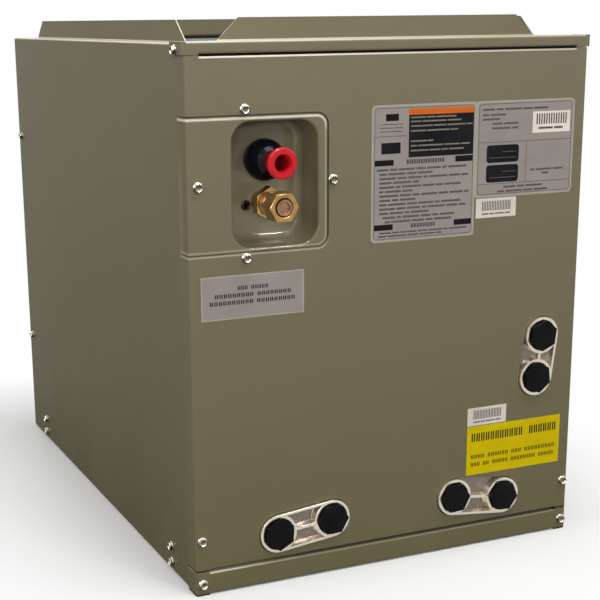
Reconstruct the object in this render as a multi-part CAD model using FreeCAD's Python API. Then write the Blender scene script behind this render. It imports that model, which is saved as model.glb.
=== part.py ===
import FreeCAD, Part
import math
import os

# Cased evaporator coil: two slanting finned slabs stand as an A on a drain pan
# in a painted sheet metal casing. Air comes in below, leaves at the top collar.
# Millimetres. X runs right along the front, Y runs to the back, Z is up.
# The origin is the middle of the air inlet, on the surface the casing stands on.

V = FreeCAD.Vector

# Slack in comparing places
tiny = 1e-6
in_plane = 1e-3
slack = 0.1

# Casing
casing_width = 368.0
casing_depth = 535.5
casing_height = 447.0
sheet = 1.0
lap_gap = 0.3
corner_bend = 2.0
edge_bend = 0.8
wrap_depth = 17.5
corner_notch = 12.0
top_bend = 1.6
fold_step = 0.8
seam_gap = 1.0
rail_gap = 0.4
base_rail_height = 20.0
base_return = 20.0
edge_return = 12.0
top_rail_face = 9.8
top_rail_return = 6.0
ear_length = 25.0
ear_proud = 2.3
side_flange = 10.4
back_flange = 18.0
flange_notch = 22.0

# Duct collar flaps
flap_height = 17.3
front_flap_setback = 27.5
side_flap_setback = 20.5
back_flap_setback = 15.0
front_flap_end = 38.0
side_flap_front_end = 50.0
side_flap_back_end = 29.0
side_flap_slope = 22.0
front_flap_slope = 18.0
flap_mitre = 5.0

# Access plate and its drawn recess
plate_right = 119.8
plate_below_top = 56.7
plate_height = 105.1
plate_gap = 0.8
plate_corner = 9.0
plate_round = 0.5
joggle_lap = 10.0
joggle_inside = 3.0
recess_width = 74.0
recess_side_margin = 7.8
recess_top_margin = 4.0
recess_bottom_margin = 2.8
recess_depth = 33.0
recess_corner = 16.0
recess_draft = 3.0
recess_rim = 2.2
recess_floor_bend = 6.0

# Drain fittings, plugs and their cut-outs, places from the nearer side edge
port_spacing = 50.4
side_port_spacing = 38.4
fitting_radius = 16.5
fitting_clearance = 0.8
collar_depth = 4.0
cutout_round = 0.8
left_fitting_inset = 99.6
right_fitting_inset = 96.9
lower_fitting_height = 46.5
lower_fitting_tilt = 6.3
side_fitting_inset = 38.3
side_fitting_height = 169.4
side_fitting_tilt = 82.7
fitting_proud = 2.0
fitting_pocket = 8.0
fitting_wall = 2.1
fitting_rib = 2.6
fitting_reach = 0.5
port_radius = 12.9
port_depth = 20.0
plug_fit = 0.1
plug_base_radius = 13.8
plug_base = 4.0
plug_head_flats = 24.2
plug_head_proud = 3.5
plug_body_length = 15.0
plug_turns = {"left": (32.0, 0.0), "right": (58.0, 7.0), "side": (22.0, 37.0)}

# Base drain pan
pan_side_gap = 2.2
pan_front_gap = 17.0
pan_back_gap = 5.0
pan_floor_height = 26.0
pan_wall = 3.0
pan_outer_top = 72.0
pan_inner_top = 62.0
pan_corner = 12.0
trough_width = 85.5
coil_rest_height = 4.0
coil_rest_width = 16.0

# Support rails below the pan
rail_width = 26.0
rail_front_inset = 61.5
rail_back_inset = 56.3
rail_bottom = 1.3

# Side drain pan, used when the casing lies on its right side
tray_bottom = 84.0
tray_top_gap = 21.7
tray_front_gap = 24.0
tray_back_gap = 18.0
tray_wall = 3.0
tray_low_rim = 26.0
tray_high_rim = 53.0
tray_slope_top = 170.0

# Foil faced insulation
insulation = 6.0
insulation_bottom = 76.0
insulation_top_gap = 3.0
insulation_end_gap = 28.0

# Coil slabs
slab_thickness = 44.0
slab_front_inset = 99.75
slab_back_inset = 35.75
coil_side_gap = 21.9
foot_height = 42.0
apex_gap = 3.0
tube_pitch = 38.1
tube_rows_count = 9
row_spacing = 22.0
tube_radius = 4.76
tube_fit = 0.1
tube_sides = 8
bend_steps = 4
fin_count = 34
fin_groove = 4.5
end_sheet = 1.2
end_sheet_margin = 4.0
end_sheet_flange = 8.0
hairpin_gap = 3.0
tube_stub = 6.0
first_circuit_count = 5
delta_top_gap = 8.0
apex_lip = 14.0

# Refrigerant lines in front of the coil
header_radius = 9.5
header_sides = 14
header_end = 10.0
header_inset = 61.75
feeder_radius = 2.4
feeder_sides = 6
feeder_inset = 53.75
feeder_pitch = 5.0
feeder_bend = 12.0
feeder_side_bend = 10.8
line_steps = 3
feeder_short_drop = 17.0
feeder_middle_drop = 33.0
feeder_long_drop = 108.0
feeder_slant_drop = 30.0
line_bend = 12.0
stub_bend = 14.0
stub_run = 13.0
suction_bend = 22.0
line_spacing = 34.0
distributor_height = 37.0
distributor_top = 250.0
distributor_neck = 7.0
distributor_skirt = 7.4
distributor_cone = 16.65
distributor_wall = 0.8

# Connections in the recess
grommet_ball = 17.0
grommet_middle = 10.7
grommet_base = 14.4
grommet_steps = 7
grommet_hole = 13.0
grommet_lip = 2.0
seal_plug_neck = 8.5
seal_plug_flange = 12.4
seal_plug_proud = 14.0
seal_plug_flange_length = 5.5
seal_plug_bore = 6.3
seal_plug_bore_depth = 24.0
seal_plug_flare = 6.0
seal_plug_round = 1.3
seal_plug_grip = 6.0
stub_end_depth = 22.0
fitting_hex_flats = 22.0
liquid_body_extra = 2.0
liquid_body_hex_length = 10.0
liquid_body_hex_depth = 13.0
liquid_body_turn = 30.0
liquid_shoulder_radius = 9.6
liquid_shoulder_depth = 4.5
liquid_spigot_radius = 7.0
liquid_spigot_reach = 8.0
liquid_hole_radius = 7.6
liquid_collar_radius = 8.0
liquid_tail = 7.0
liquid_nut_length = 19.0
liquid_nut_proud = 16.0
liquid_cap_radius = 6.5
liquid_cap_dish = 4.6
liquid_cap_dish_depth = 1.2
nut_chamfer = 2.2
nut_mouth = 1.1

# Screws
screw_head_flats = 7.6
screw_head_height = 3.2
screw_radius = 1.8
screw_length = 9.0
screw_hole_gap = 0.1
screw_sides = 8
front_screw_inset = 6.0
front_screw_low = 9.7
front_screw_high = 47.5
plate_screw_middle = 48.7
plate_screw_above = 5.3
plate_screw_right = 5.2
plate_screw_left = 9.0
side_screw_low = 7.9
side_screw_high = 22.4
ear_screw_behind = 13.0
ear_screw_drop = 6.3
back_screw_inset = 10.9
back_screw_low = 112.0
back_screw_high = 339.3
recess_screw_left = 24.5
recess_screw_drop = 3.0

# Labels, places from the front's side edges
label_thickness = 0.2
label_corner = 4.0
label_inset = 11.5
main_label_width = 98.5
main_label_rise = 4.5
instruction_height = 111.5
data_height = 80.5
bar_label_width = 40.0
bar_label_height = 16.5
bar_label_gap = 0.7
yellow_label_bottom = 67.0
yellow_label_height = 45.0
type_label_left = 9.5
type_label_width = 89.5
type_label_height = 35.5
type_label_drop = 17.7

# Places worked out from the sizes above
front = -casing_depth / 2
back = casing_depth / 2
half_width = casing_width / 2
side_face = half_width - sheet - lap_gap
side_top = casing_height - sheet - lap_gap
flange_face = front + sheet + lap_gap
back_half = side_face - sheet - lap_gap
panel_bottom = base_rail_height + seam_gap
panel_top = casing_height - top_rail_face - rail_gap
plate_top = casing_height - plate_below_top
plate_bottom = plate_top - plate_height
recess_right = plate_right - recess_side_margin
recess_left = recess_right - recess_width
recess_bottom = plate_bottom + recess_bottom_margin
recess_top = plate_top - recess_top_margin
suction_height = (recess_bottom + recess_top + line_spacing) / 2
liquid_height = suction_height - line_spacing
connection_x = (recess_left + recess_right) / 2 - half_width
top_rail_bottom = casing_height - top_rail_face
ear_face = half_width + ear_proud
pan_half = side_face - pan_side_gap - sheet
pan_front = front + pan_front_gap
pan_back = back - pan_back_gap
inlet_half_width = pan_half - trough_width - 2 * pan_wall
slab_length = tube_pitch * tube_rows_count
sheet_edge = slab_thickness / 2 + end_sheet_margin
coil_span = pan_half - pan_wall - coil_side_gap - apex_gap
coil_square = slab_thickness / 2 + sheet_edge
slab_angle = math.degrees(math.asin(coil_span / math.hypot(slab_length, coil_square))
                          - math.atan2(coil_square, slab_length))
slab_sine = math.sin(math.radians(slab_angle))
slab_cosine = math.cos(math.radians(slab_angle))
foot_place = slab_length * slab_sine + slab_thickness / 2 * slab_cosine + apex_gap
slab_front = front + slab_front_inset
slab_back = back - slab_back_inset
header_y = front + header_inset
feeder_y = front + feeder_inset
distributor_bottom = distributor_top - distributor_height
trough_floor = pan_floor_height + pan_wall
inlet_front = slab_front
inlet_back = slab_back
insulation_face = side_face - sheet - lap_gap - insulation
tray_face = insulation_face - lap_gap
tray_front = front + tray_front_gap
tray_back = back - tray_back_gap
tray_top = side_top - tray_top_gap


# Placing flat outlines in space

def on_plan(z):
    return lambda a, b: V(a, b, z)


def on_front(y):
    return lambda a, b: V(a, y, b)


def on_side(x):
    return lambda a, b: V(x, a, b)


def across_slab(side, s):
    """Outline points given as distance off the slab's middle and Y."""
    return lambda a, b: slab_point(side, s, a, b)


def slab_point(side, s, v, y):
    """A point s up a slab and v outwards from its middle; side is 1 right, -1 left."""
    x = foot_place - s * slab_sine + v * slab_cosine
    z = foot_height + s * slab_cosine + v * slab_sine
    return V(side * x, y, z)


def slab_up(side):
    return V(-side * slab_sine, 0, slab_cosine)


# Basic solids

def box(x0, x1, y0, y1, z0, z1):
    return Part.makeBox(x1 - x0, y1 - y0, z1 - z0, V(x0, y0, z0))


def rod(start, direction, radius, length):
    return Part.makeCylinder(radius, length, start, direction)


def fuse(shapes):
    return shapes[0].multiFuse(shapes[1:]).removeSplitter()


def mirrored(shape):
    return shape.mirror(V(0, 0, 0), V(1, 0, 0))


def rounded_wire(points, radii, place):
    """Closed outline of straight runs, each corner rounded by its own radius."""
    edges = []
    ends = []
    count = len(points)
    for i in range(count):
        before, here, after = points[i - 1], points[i], points[(i + 1) % count]
        a = unit(before[0] - here[0], before[1] - here[1])
        b = unit(after[0] - here[0], after[1] - here[1])
        if radii[i] <= 0:
            ends.append((here, None, here))
            continue
        half = math.acos(max(-1.0, min(1.0, a[0] * b[0] + a[1] * b[1]))) / 2
        reach = radii[i] / math.tan(half)
        middle = unit(a[0] + b[0], a[1] + b[1])
        depth = radii[i] / math.sin(half) - radii[i]
        first = (here[0] + a[0] * reach, here[1] + a[1] * reach)
        last = (here[0] + b[0] * reach, here[1] + b[1] * reach)
        ends.append((first, (here[0] + middle[0] * depth, here[1] + middle[1] * depth), last))
    for i in range(count):
        first, middle, last = ends[i]
        if middle is not None:
            edges.append(Part.Arc(place(*first), place(*middle), place(*last)).toShape())
        start, end = place(*last), place(*ends[(i + 1) % count][0])
        if start.distanceToPoint(end) > tiny:
            edges.append(Part.makeLine(start, end))
    return Part.Wire(edges)


def unit(a, b):
    length = math.hypot(a, b)
    return (a / length, b / length)


def prism(points, place, along, radius=0.0):
    """A flat outline given a length; every corner has the same radius."""
    wire = rounded_wire(points, [radius] * len(points), place)
    return Part.Face(wire).extrude(along)


def folded(points, thickness, bend, place, along, side=1):
    """Bent sheet whose outer line is given; side 1 puts the metal to its left.
    Bend is the inside radius of every fold, or a list with one for each point."""
    count = len(points)
    bends = bend if isinstance(bend, list) else [bend] * count
    inner, outer_radii, inner_radii = [], [], []
    for i in range(count):
        if i == 0 or i == count - 1:
            j = 0 if i == 0 else count - 2
            d = unit(points[j + 1][0] - points[j][0], points[j + 1][1] - points[j][1])
            inner.append((points[i][0] - side * thickness * d[1], points[i][1] + side * thickness * d[0]))
            outer_radii.append(0.0)
            inner_radii.append(0.0)
            continue
        d = unit(points[i][0] - points[i - 1][0], points[i][1] - points[i - 1][1])
        e = unit(points[i + 1][0] - points[i][0], points[i + 1][1] - points[i][1])
        turn = d[0] * e[1] - d[1] * e[0]
        scale = side * thickness / (1 + d[0] * e[0] + d[1] * e[1])
        inner.append((points[i][0] - scale * (d[1] + e[1]), points[i][1] + scale * (d[0] + e[0])))
        inside = turn * side > 0
        outer_radii.append(bends[i] + thickness if inside else bends[i])
        inner_radii.append(bends[i] if inside else bends[i] + thickness)
    outline = points + inner[::-1]
    radii = outer_radii + inner_radii[::-1]
    return Part.Face(rounded_wire(outline, radii, place)).extrude(along)


def faceted(rings):
    """Closed solid with flat facets through a row of equal rings of points."""
    faces = []
    count = len(rings[0])
    for lower, upper in zip(rings, rings[1:]):
        for i in range(count):
            j = (i + 1) % count
            corners = [lower[i], lower[j], upper[j], upper[i], lower[i]]
            faces.append(Part.Face(Part.makePolygon(corners)))
    for ring in (rings[0], rings[-1]):
        faces.append(Part.Face(Part.makePolygon(ring + [ring[0]])))
    solid = Part.makeSolid(Part.makeShell(faces))
    return solid if solid.Volume > 0 else solid.reversed()


def ring_points(centre, along, across, radius, sides):
    """Points of a regular ring round a centre, square to along."""
    other = along.cross(across)
    points = []
    for i in range(sides):
        turn = 2 * math.pi * (i + 0.5) / sides
        points.append(centre + across * (radius * math.cos(turn)) + other * (radius * math.sin(turn)))
    return points


def tube(points, bends, radius, sides, steps=bend_steps):
    """Tube of straight runs and round bends, with flat facets to stay light."""
    first = (points[1] - points[0]).normalize()
    if len(points) > 2:
        second = (points[2] - points[1]).normalize()
        across = second - first * second.dot(first)
        across.normalize()
    else:
        across = first.cross(V(0, 1, 0) if abs(first.y) < 0.9 else V(1, 0, 0)).normalize()
    rings = [ring_points(points[0], first, across, radius, sides)]
    along = first
    for i in range(1, len(points) - 1):
        following = (points[i + 1] - points[i]).normalize()
        axis = along.cross(following).normalize()
        turn = along.getAngle(following)
        reach = bends[i - 1] * math.tan(turn / 2)
        start = points[i] - along * reach
        centre = start + axis.cross(along) * bends[i - 1]
        for step in range(steps + 1):
            spin = FreeCAD.Rotation(axis, math.degrees(turn * step / steps))
            place = centre + spin.multVec(start - centre)
            rings.append(ring_points(place, spin.multVec(along), spin.multVec(across), radius, sides))
        across = FreeCAD.Rotation(axis, math.degrees(turn)).multVec(across)
        along = following
    rings.append(ring_points(points[-1], along, across, radius, sides))
    return faceted(rings)


def hexagon(centre, along, across, flats, length):
    """Six sided prism given its size across the flats."""
    corners = ring_points(centre, along, across, flats / 2 / math.cos(math.pi / 6), 6)
    return Part.Face(Part.makePolygon(corners + [corners[0]])).extrude(along * length)


def turned(profile, centre, along, across):
    """Revolve (radius, distance) points about an axis."""
    points = [centre + across * r + along * d for r, d in profile]
    face = Part.Face(Part.makePolygon(points + [points[0]]))
    return face.revolve(centre, along, 360)


# Screws and their holes

def screw(place, into):
    """Hex headed sheet metal screw; place is on the face under its head."""
    head = hexagon(place, into * -1, V(0, 0, 1), screw_head_flats, screw_head_height)
    shank = tube([place - into * (screw_head_height / 2), place + into * screw_length],
                 [], screw_radius, screw_sides)
    return fuse([head, shank])


def screw_hole(place, into):
    """Tool that clears a screw's shank through every sheet near its place."""
    reach = 2 * screw_length
    return tube([place - into * reach, place + into * reach], [],
                screw_radius + screw_hole_gap, screw_sides)


def from_edge(place):
    return place - half_width


def front_screw_places():
    """Screws through the front into the side panels' flanges."""
    x = half_width - front_screw_inset
    return [V(side * x, front, z) for side in (-1, 1) for z in (front_screw_low, front_screw_high)]


def plate_screw_places():
    """Screws round the access plate: above, below, right and on its left."""
    height = (plate_bottom + plate_top) / 2
    return [V(from_edge(plate_screw_middle), front, plate_top + plate_screw_above),
            V(from_edge(plate_screw_middle), front, plate_bottom - plate_screw_above),
            V(from_edge(plate_right + plate_screw_right), front, height),
            V(from_edge(plate_screw_left), front, height)]


def side_screw_places(side):
    """Screws through a side panel into the support rails."""
    return [V(side * side_face, y, z)
            for y in (front + rail_front_inset, back - rail_back_inset)
            for z in (side_screw_low, side_screw_high)]


def ear_screw_place(side):
    return V(side * ear_face, front + ear_screw_behind, casing_height - ear_screw_drop)


def back_screw_places():
    """Screws through the side panels into the back panel's flanges."""
    return [V(side * side_face, back - back_screw_inset, z)
            for side in (-1, 1) for z in (back_screw_low, back_screw_high)]


def inward(side):
    return V(-side, 0, 0)


def all_screw_holes():
    into_front = V(0, 1, 0)
    holes = [screw_hole(p, into_front) for p in front_screw_places() + plate_screw_places()]
    for side in (-1, 1):
        holes += [screw_hole(p, inward(side)) for p in side_screw_places(side)]
        holes.append(screw_hole(ear_screw_place(side), inward(side)))
    holes += [screw_hole(p, inward(math.copysign(1, p.x))) for p in back_screw_places()]
    return holes


# Casing panels

def wrapped_panel(half, wrap, z0, z1, notch, low_return, high_return):
    """Front facing panel with wrapped sides; its folded top and bottom edges stand back a little."""
    bend_out = edge_bend + sheet + fold_step
    inner = half - notch
    plan = [(-half, front + wrap), (-half, front), (half, front), (half, front + wrap)]
    panel = folded(plan, sheet, corner_bend, on_plan(z0), V(0, 0, z1 - z0))
    deep = front + 2 * wrap
    for z in (z0, z1 - bend_out):
        panel = panel.cut(box(-inner, inner, front - 1, deep, z, z + bend_out))
    low, high = z0 + fold_step, z1 - fold_step
    line = [(front + low_return, low), (front, low), (front, high), (front + high_return, high)]
    strip = folded(line, sheet, edge_bend, on_side(-inner), V(2 * inner, 0, 0), -1)
    return fuse([panel, strip])


def flap_trim(place, along, base0, base1, slope, z):
    """Two cutters that slope a flap's ends; place puts (run, z) in space."""
    top = z + 2 * flap_height
    rise = slope * (top - z) / flap_height
    far = 2 * casing_depth
    low = [(base0 - far, z), (base0, z), (base0 + rise, top), (base0 - far, top)]
    high = [(base1 + far, z), (base1, z), (base1 - rise, top), (base1 + far, top)]
    return [prism(low, place, along), prism(high, place, along)]


def side_panel():
    """Left panel: inward top and bottom edges, a collar flap and a front flange."""
    flap_x = half_width - side_flap_setback
    y0 = front + flange_notch
    line = [(-side_face + base_return, 0), (-side_face, 0), (-side_face, side_top),
            (-flap_x, side_top), (-flap_x, side_top + flap_height)]
    bends = [0, edge_bend, top_bend, top_bend, 0]
    wall = folded(line, sheet, bends, on_front(y0), V(0, back - y0, 0), -1)
    wall = wall.cut(fuse(flap_trim(on_side(-2 * half_width), V(2 * half_width, 0, 0),
                                   front + side_flap_front_end, back - side_flap_back_end,
                                   side_flap_slope, side_top)))
    plan = [(-side_face, y0 + 1), (-side_face, flange_face), (-side_face + side_flange, flange_face)]
    corner = folded(plan, sheet, corner_bend, on_plan(0), V(0, 0, side_top - sheet))
    return fuse([wall, corner])


def back_panel():
    """Back panel between the sides, with flanges that the side screws hold."""
    inner = side_face - base_return - lap_gap
    plan = [(-back_half, front + back_flange), (-back_half, front),
            (back_half, front), (back_half, front + back_flange)]
    low, high = sheet + lap_gap, side_top - sheet - top_bend
    panel = folded(plan, sheet, corner_bend, on_plan(low), V(0, 0, high - low))
    deep = front + 2 * back_flange
    panel = panel.cut(box(-inner, inner, front - 1, deep, 0, edge_bend + sheet))
    flap_y = front + back_flap_setback
    line = [(front + base_return, 0), (front, 0), (front, side_top),
            (flap_y, side_top), (flap_y, side_top + flap_height)]
    bends = [0, edge_bend, top_bend, top_bend, 0]
    strip = folded(line, sheet, bends, on_side(-inner), V(2 * inner, 0, 0), -1)
    trim = flap_trim(on_front(front - 1), V(0, casing_depth, 0),
                     -half_width + front_flap_end, half_width - front_flap_end,
                     front_flap_slope, side_top)
    whole = fuse([panel, strip.cut(fuse(trim))])
    return whole.rotate(V(0, 0, 0), V(0, 0, 1), 180)


def bottom_front_rail():
    return wrapped_panel(half_width, wrap_depth, 0, base_rail_height, corner_notch,
                         base_return, edge_return)


def heading(tilt):
    """Unit direction in the front, tilt in degrees from level."""
    return (math.cos(math.radians(tilt)), math.sin(math.radians(tilt)))


def slot(middle, spacing, tilt, radius, y, length):
    """Round-ended slot shape in the front; spacing is between its ends' centres."""
    run = heading(tilt)
    reach = spacing / 2 + radius
    corners = []
    for a, b in ((-1, -1), (1, -1), (1, 1), (-1, 1)):
        corners.append((middle[0] + a * reach * run[0] - b * radius * run[1],
                        middle[1] + a * reach * run[1] + b * radius * run[0]))
    return prism(corners, on_front(y), V(0, length, 0), radius)


def drain_slots():
    """Middle, port spacing and tilt of each drain fitting."""
    left_middle = (from_edge(left_fitting_inset), lower_fitting_height)
    right_middle = (-from_edge(right_fitting_inset), lower_fitting_height)
    side_middle = (-from_edge(side_fitting_inset), side_fitting_height)
    left = (left_middle, port_spacing, lower_fitting_tilt)
    right = (right_middle, port_spacing, -lower_fitting_tilt)
    side = (side_middle, side_port_spacing, side_fitting_tilt)
    return {"left": left, "right": right, "side": side}


def front_panel():
    """Main front panel, with the access opening and three rolled drain cut-outs."""
    panel = wrapped_panel(half_width, wrap_depth, panel_bottom, panel_top, corner_notch,
                          edge_return, edge_return)
    hole = [(-2 * half_width, plate_bottom - plate_gap),
            (from_edge(plate_right) + plate_gap, plate_bottom - plate_gap),
            (from_edge(plate_right) + plate_gap, plate_top + plate_gap),
            (-2 * half_width, plate_top + plate_gap)]
    corner = plate_corner + plate_gap
    wire = rounded_wire(hole, [0, corner, corner, 0], on_front(front - 1))
    panel = panel.cut(Part.Face(wire).extrude(V(0, wrap_depth + 2, 0)))
    inner = fitting_radius + fitting_clearance
    for middle, spacing, tilt in drain_slots().values():
        panel = panel.cut(slot(middle, spacing, tilt, inner + sheet, front - 1, sheet + 2))
        collar = slot(middle, spacing, tilt, inner + sheet, front, collar_depth)
        panel = panel.fuse(collar.cut(slot(middle, spacing, tilt, inner, front - 1, 2 * collar_depth)))
    panel = rolled_edges(panel.removeSplitter())
    opening = [e for e in panel.Edges if is_plate_edge(e, plate_gap)]
    return panel.makeFillet(plate_round, opening)


def rolled_edges(panel):
    """Round the front edge of each drain cut-out."""
    edges = []
    for middle, spacing, tilt in drain_slots().values():
        reach = fitting_radius + fitting_clearance + sheet
        around = slot(middle, spacing, tilt, reach, front - 1, 2).BoundBox
        for edge in panel.Edges:
            flat = in_front_plane(edge.BoundBox)
            if flat and around.isInside(edge.BoundBox):
                edges.append(edge)
    return panel.makeFillet(cutout_round, edges)


def in_front_plane(bounds):
    return abs(bounds.YMin - front) + abs(bounds.YMax - front) < in_plane


def is_plate_edge(edge, grow):
    """Whether an edge in the front plane is the access plate's outline, grown a little."""
    bounds = edge.BoundBox
    if not in_front_plane(bounds):
        return False
    x, z = (bounds.XMin + bounds.XMax) / 2, (bounds.ZMin + bounds.ZMax) / 2
    right, corner = from_edge(plate_right) + grow, plate_corner + grow
    low, high = plate_bottom - grow, plate_top + grow
    if x > right + slack or z < low - slack or z > high + slack:
        return False
    near = corner / 2 + slack
    return x > right - near or z < low + near or z > high - near


def recess_outline(grow, depth):
    """Points of the recess at a depth; grow adds the sheet's thickness."""
    taper = depth * math.tan(math.radians(recess_draft)) - grow
    x0, x1 = from_edge(recess_left) + taper, from_edge(recess_right) - taper
    z0, z1 = recess_bottom + taper, recess_top - taper
    return [(x0, z0), (x1, z0), (x1, z1), (x0, z1)]


def recess_block(grow, depth):
    """The drawn recess as a tapered block with rounded corners and floor edge."""
    wires = []
    for d in (0.0, depth):
        taper = d * math.tan(math.radians(recess_draft))
        radius = recess_corner - taper + grow
        wires.append(rounded_wire(recess_outline(grow, d), [radius] * 4, on_front(front + d)))
    block = Part.makeLoft(wires, True, True)
    floor_y = front + depth
    edges = [e for e in block.Edges if abs(e.BoundBox.YMin - floor_y) < in_plane]
    return block.makeFillet(recess_floor_bend + grow, edges)


def access_plate():
    """Plate over the connections: deep recess, joggled edge and corner wrap."""
    right = from_edge(plate_right)
    plan = [(-half_width, front + wrap_depth), (-half_width, front), (right, front)]
    height = plate_top - plate_bottom
    plate = folded(plan, sheet, corner_bend, on_plan(plate_bottom), V(0, 0, height))
    outline = [(-2 * half_width, plate_bottom), (right, plate_bottom),
               (right, plate_top), (-2 * half_width, plate_top)]
    wire = rounded_wire(outline, [0, plate_corner, plate_corner, 0], on_front(front - 1))
    plate = plate.common(Part.Face(wire).extrude(V(0, 2 * wrap_depth, 0)))
    plate = plate.makeFillet(plate_round, [e for e in plate.Edges if is_plate_edge(e, 0.0)])
    left = -side_face + side_flange + lap_gap
    behind = front + sheet + lap_gap
    lap = prism([(left, plate_bottom - joggle_lap), (right + joggle_lap, plate_bottom - joggle_lap),
                 (right + joggle_lap, plate_top + joggle_lap), (left, plate_top + joggle_lap)],
                on_front(behind), V(0, sheet, 0))
    step = prism([(left, plate_bottom), (right, plate_bottom), (right, plate_top), (left, plate_top)],
                 on_front(front + sheet), V(0, lap_gap + sheet, 0), joggle_inside)
    inside = prism(recess_outline(-recess_rim + joggle_inside, 0.0), on_front(front + sheet),
                   V(0, 4 * sheet, 0))
    whole = fuse([plate, fuse([lap, step]).cut(inside), recess_block(sheet, recess_depth + sheet)])
    whole = whole.cut(recess_block(0.0, recess_depth))
    whole = whole.makeFillet(recess_rim, [e for e in whole.Edges if is_recess_rim(e)])
    floor_holes = [(suction_height, grommet_hole), (liquid_height, liquid_hole_radius)]
    for height, radius in floor_holes:
        start = V(connection_x, front + recess_depth - 1, height)
        whole = whole.cut(rod(start, V(0, 1, 0), radius, sheet + 2))
    return whole


def is_recess_rim(edge):
    """Whether an edge is the recess's mouth in the plate's front face."""
    bounds = edge.BoundBox
    x0, x1 = from_edge(recess_left) - slack, from_edge(recess_right) + slack
    within_x = bounds.XMin > x0 and bounds.XMax < x1
    within_z = bounds.ZMin > recess_bottom - slack and bounds.ZMax < recess_top + slack
    return in_front_plane(bounds) and within_x and within_z


def top_front_rail():
    """Rail over the front's top edge: ears round the sides and the front flap."""
    bend_low = edge_bend + sheet + fold_step
    bend_high = top_bend + sheet
    z0, z1 = top_rail_bottom, casing_height
    plan = [(-ear_face, front + ear_length), (-ear_face, front),
            (ear_face, front), (ear_face, front + ear_length)]
    rail = folded(plan, sheet, corner_bend, on_plan(z0), V(0, 0, z1 - z0))
    low = half_width - corner_notch
    high = half_width - corner_bend
    rail = rail.cut(box(-low, low, front - 1, front + sheet + 1, z0, z0 + bend_low))
    rail = rail.cut(box(-high, high, front - 1, front + sheet + 1, z1 - bend_high, z1))
    step = z0 + fold_step
    lower = folded([(front + top_rail_return, step), (front, step), (front, z0 + bend_low + sheet)],
                   sheet, edge_bend, on_side(-low), V(2 * low, 0, 0), -1)
    flap_y = front + front_flap_setback
    line = [(front, z1 - bend_high - sheet), (front, z1), (flap_y, z1), (flap_y, z1 + flap_height)]
    upper = folded(line, sheet, top_bend, on_side(-high), V(2 * high, 0, 0), -1)
    base = half_width - front_flap_end
    trim = flap_trim(on_front(front), V(0, casing_depth, 0), -base, base, front_flap_slope, z1)
    mitres = []
    for side in (-1, 1):
        points = [(side * (high + 1), front + corner_bend + sheet), (side * base, flap_y),
                  (side * base, flap_y + flap_mitre), (side * (high + 1), flap_y + flap_mitre)]
        mitres.append(prism(points, on_plan(z1 - 2 * sheet), V(0, 0, 4 * sheet)))
    return fuse([rail, lower, upper.cut(fuse(trim + mitres))])


def insulation_sheet():
    """Left insulation, between the side panel's flanges."""
    outer = side_face - sheet - lap_gap
    return box(-outer, -outer + insulation, front + insulation_end_gap, back - insulation_end_gap,
               insulation_bottom, side_top - sheet - insulation_top_gap)


def back_insulation():
    half = back_half - insulation_end_gap
    outer = back - sheet - lap_gap
    return box(-half, half, outer - insulation, outer, insulation_bottom,
               side_top - sheet - insulation_top_gap)


# Supports and pans

def support_rail(y):
    """Channel across the casing that carries the pan, with a tab at each side."""
    half = side_face - sheet - lap_gap
    top = pan_floor_height - lap_gap
    low = rail_bottom + sheet
    y0, y1 = y - rail_width / 2, y + rail_width / 2
    channel = folded([(y1, low), (y1, top), (y0, top), (y0, low)], sheet, edge_bend,
                     on_side(-half), V(2 * half, 0, 0))
    tab = box(half - sheet, half, y0 + sheet, y1 - sheet, low, top - sheet / 2)
    return fuse([channel, tab, mirrored(tab)])


def base_drain_pan():
    """Pan round the air inlet, with a trough on every side and coil rests."""
    outline = [(-pan_half, pan_front), (pan_half, pan_front), (pan_half, pan_back), (-pan_half, pan_back)]
    outer = prism(outline, on_plan(pan_floor_height), V(0, 0, pan_outer_top - pan_floor_height), pan_corner)
    w = pan_wall
    hollow = prism([(-pan_half + w, pan_front + w), (pan_half - w, pan_front + w),
                    (pan_half - w, pan_back - w), (-pan_half + w, pan_back - w)],
                   on_plan(trough_floor), V(0, 0, pan_outer_top), pan_corner - w)
    half = inlet_half_width
    ring = [(-half - w, inlet_front - w), (half + w, inlet_front - w),
            (half + w, inlet_back + w), (-half - w, inlet_back + w)]
    curb = prism(ring, on_plan(pan_floor_height), V(0, 0, pan_inner_top - pan_floor_height), w + 1)
    inlet = prism([(-half, inlet_front), (half, inlet_front), (half, inlet_back), (-half, inlet_back)],
                  on_plan(0), V(0, 0, casing_height), 1.0)
    rests = []
    for side in (-1, 1):
        for y in (slab_front - end_sheet_flange / 2, slab_back + end_sheet_flange / 2):
            x0, x1 = sorted((side * (half + w), side * (pan_half - w)))
            rests.append(box(x0, x1, y - coil_rest_width / 2, y + coil_rest_width / 2,
                             pan_floor_height, trough_floor + coil_rest_height))
    pan = fuse([outer.cut(hollow), curb] + rests).cut(inlet)
    for name in ("left", "right"):
        middle, spacing, tilt = drain_slots()[name]
        pan = pan.cut(slot(middle, spacing, tilt, fitting_radius + lap_gap,
                           pan_front - 1, pan_wall + 2))
    return pan


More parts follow.
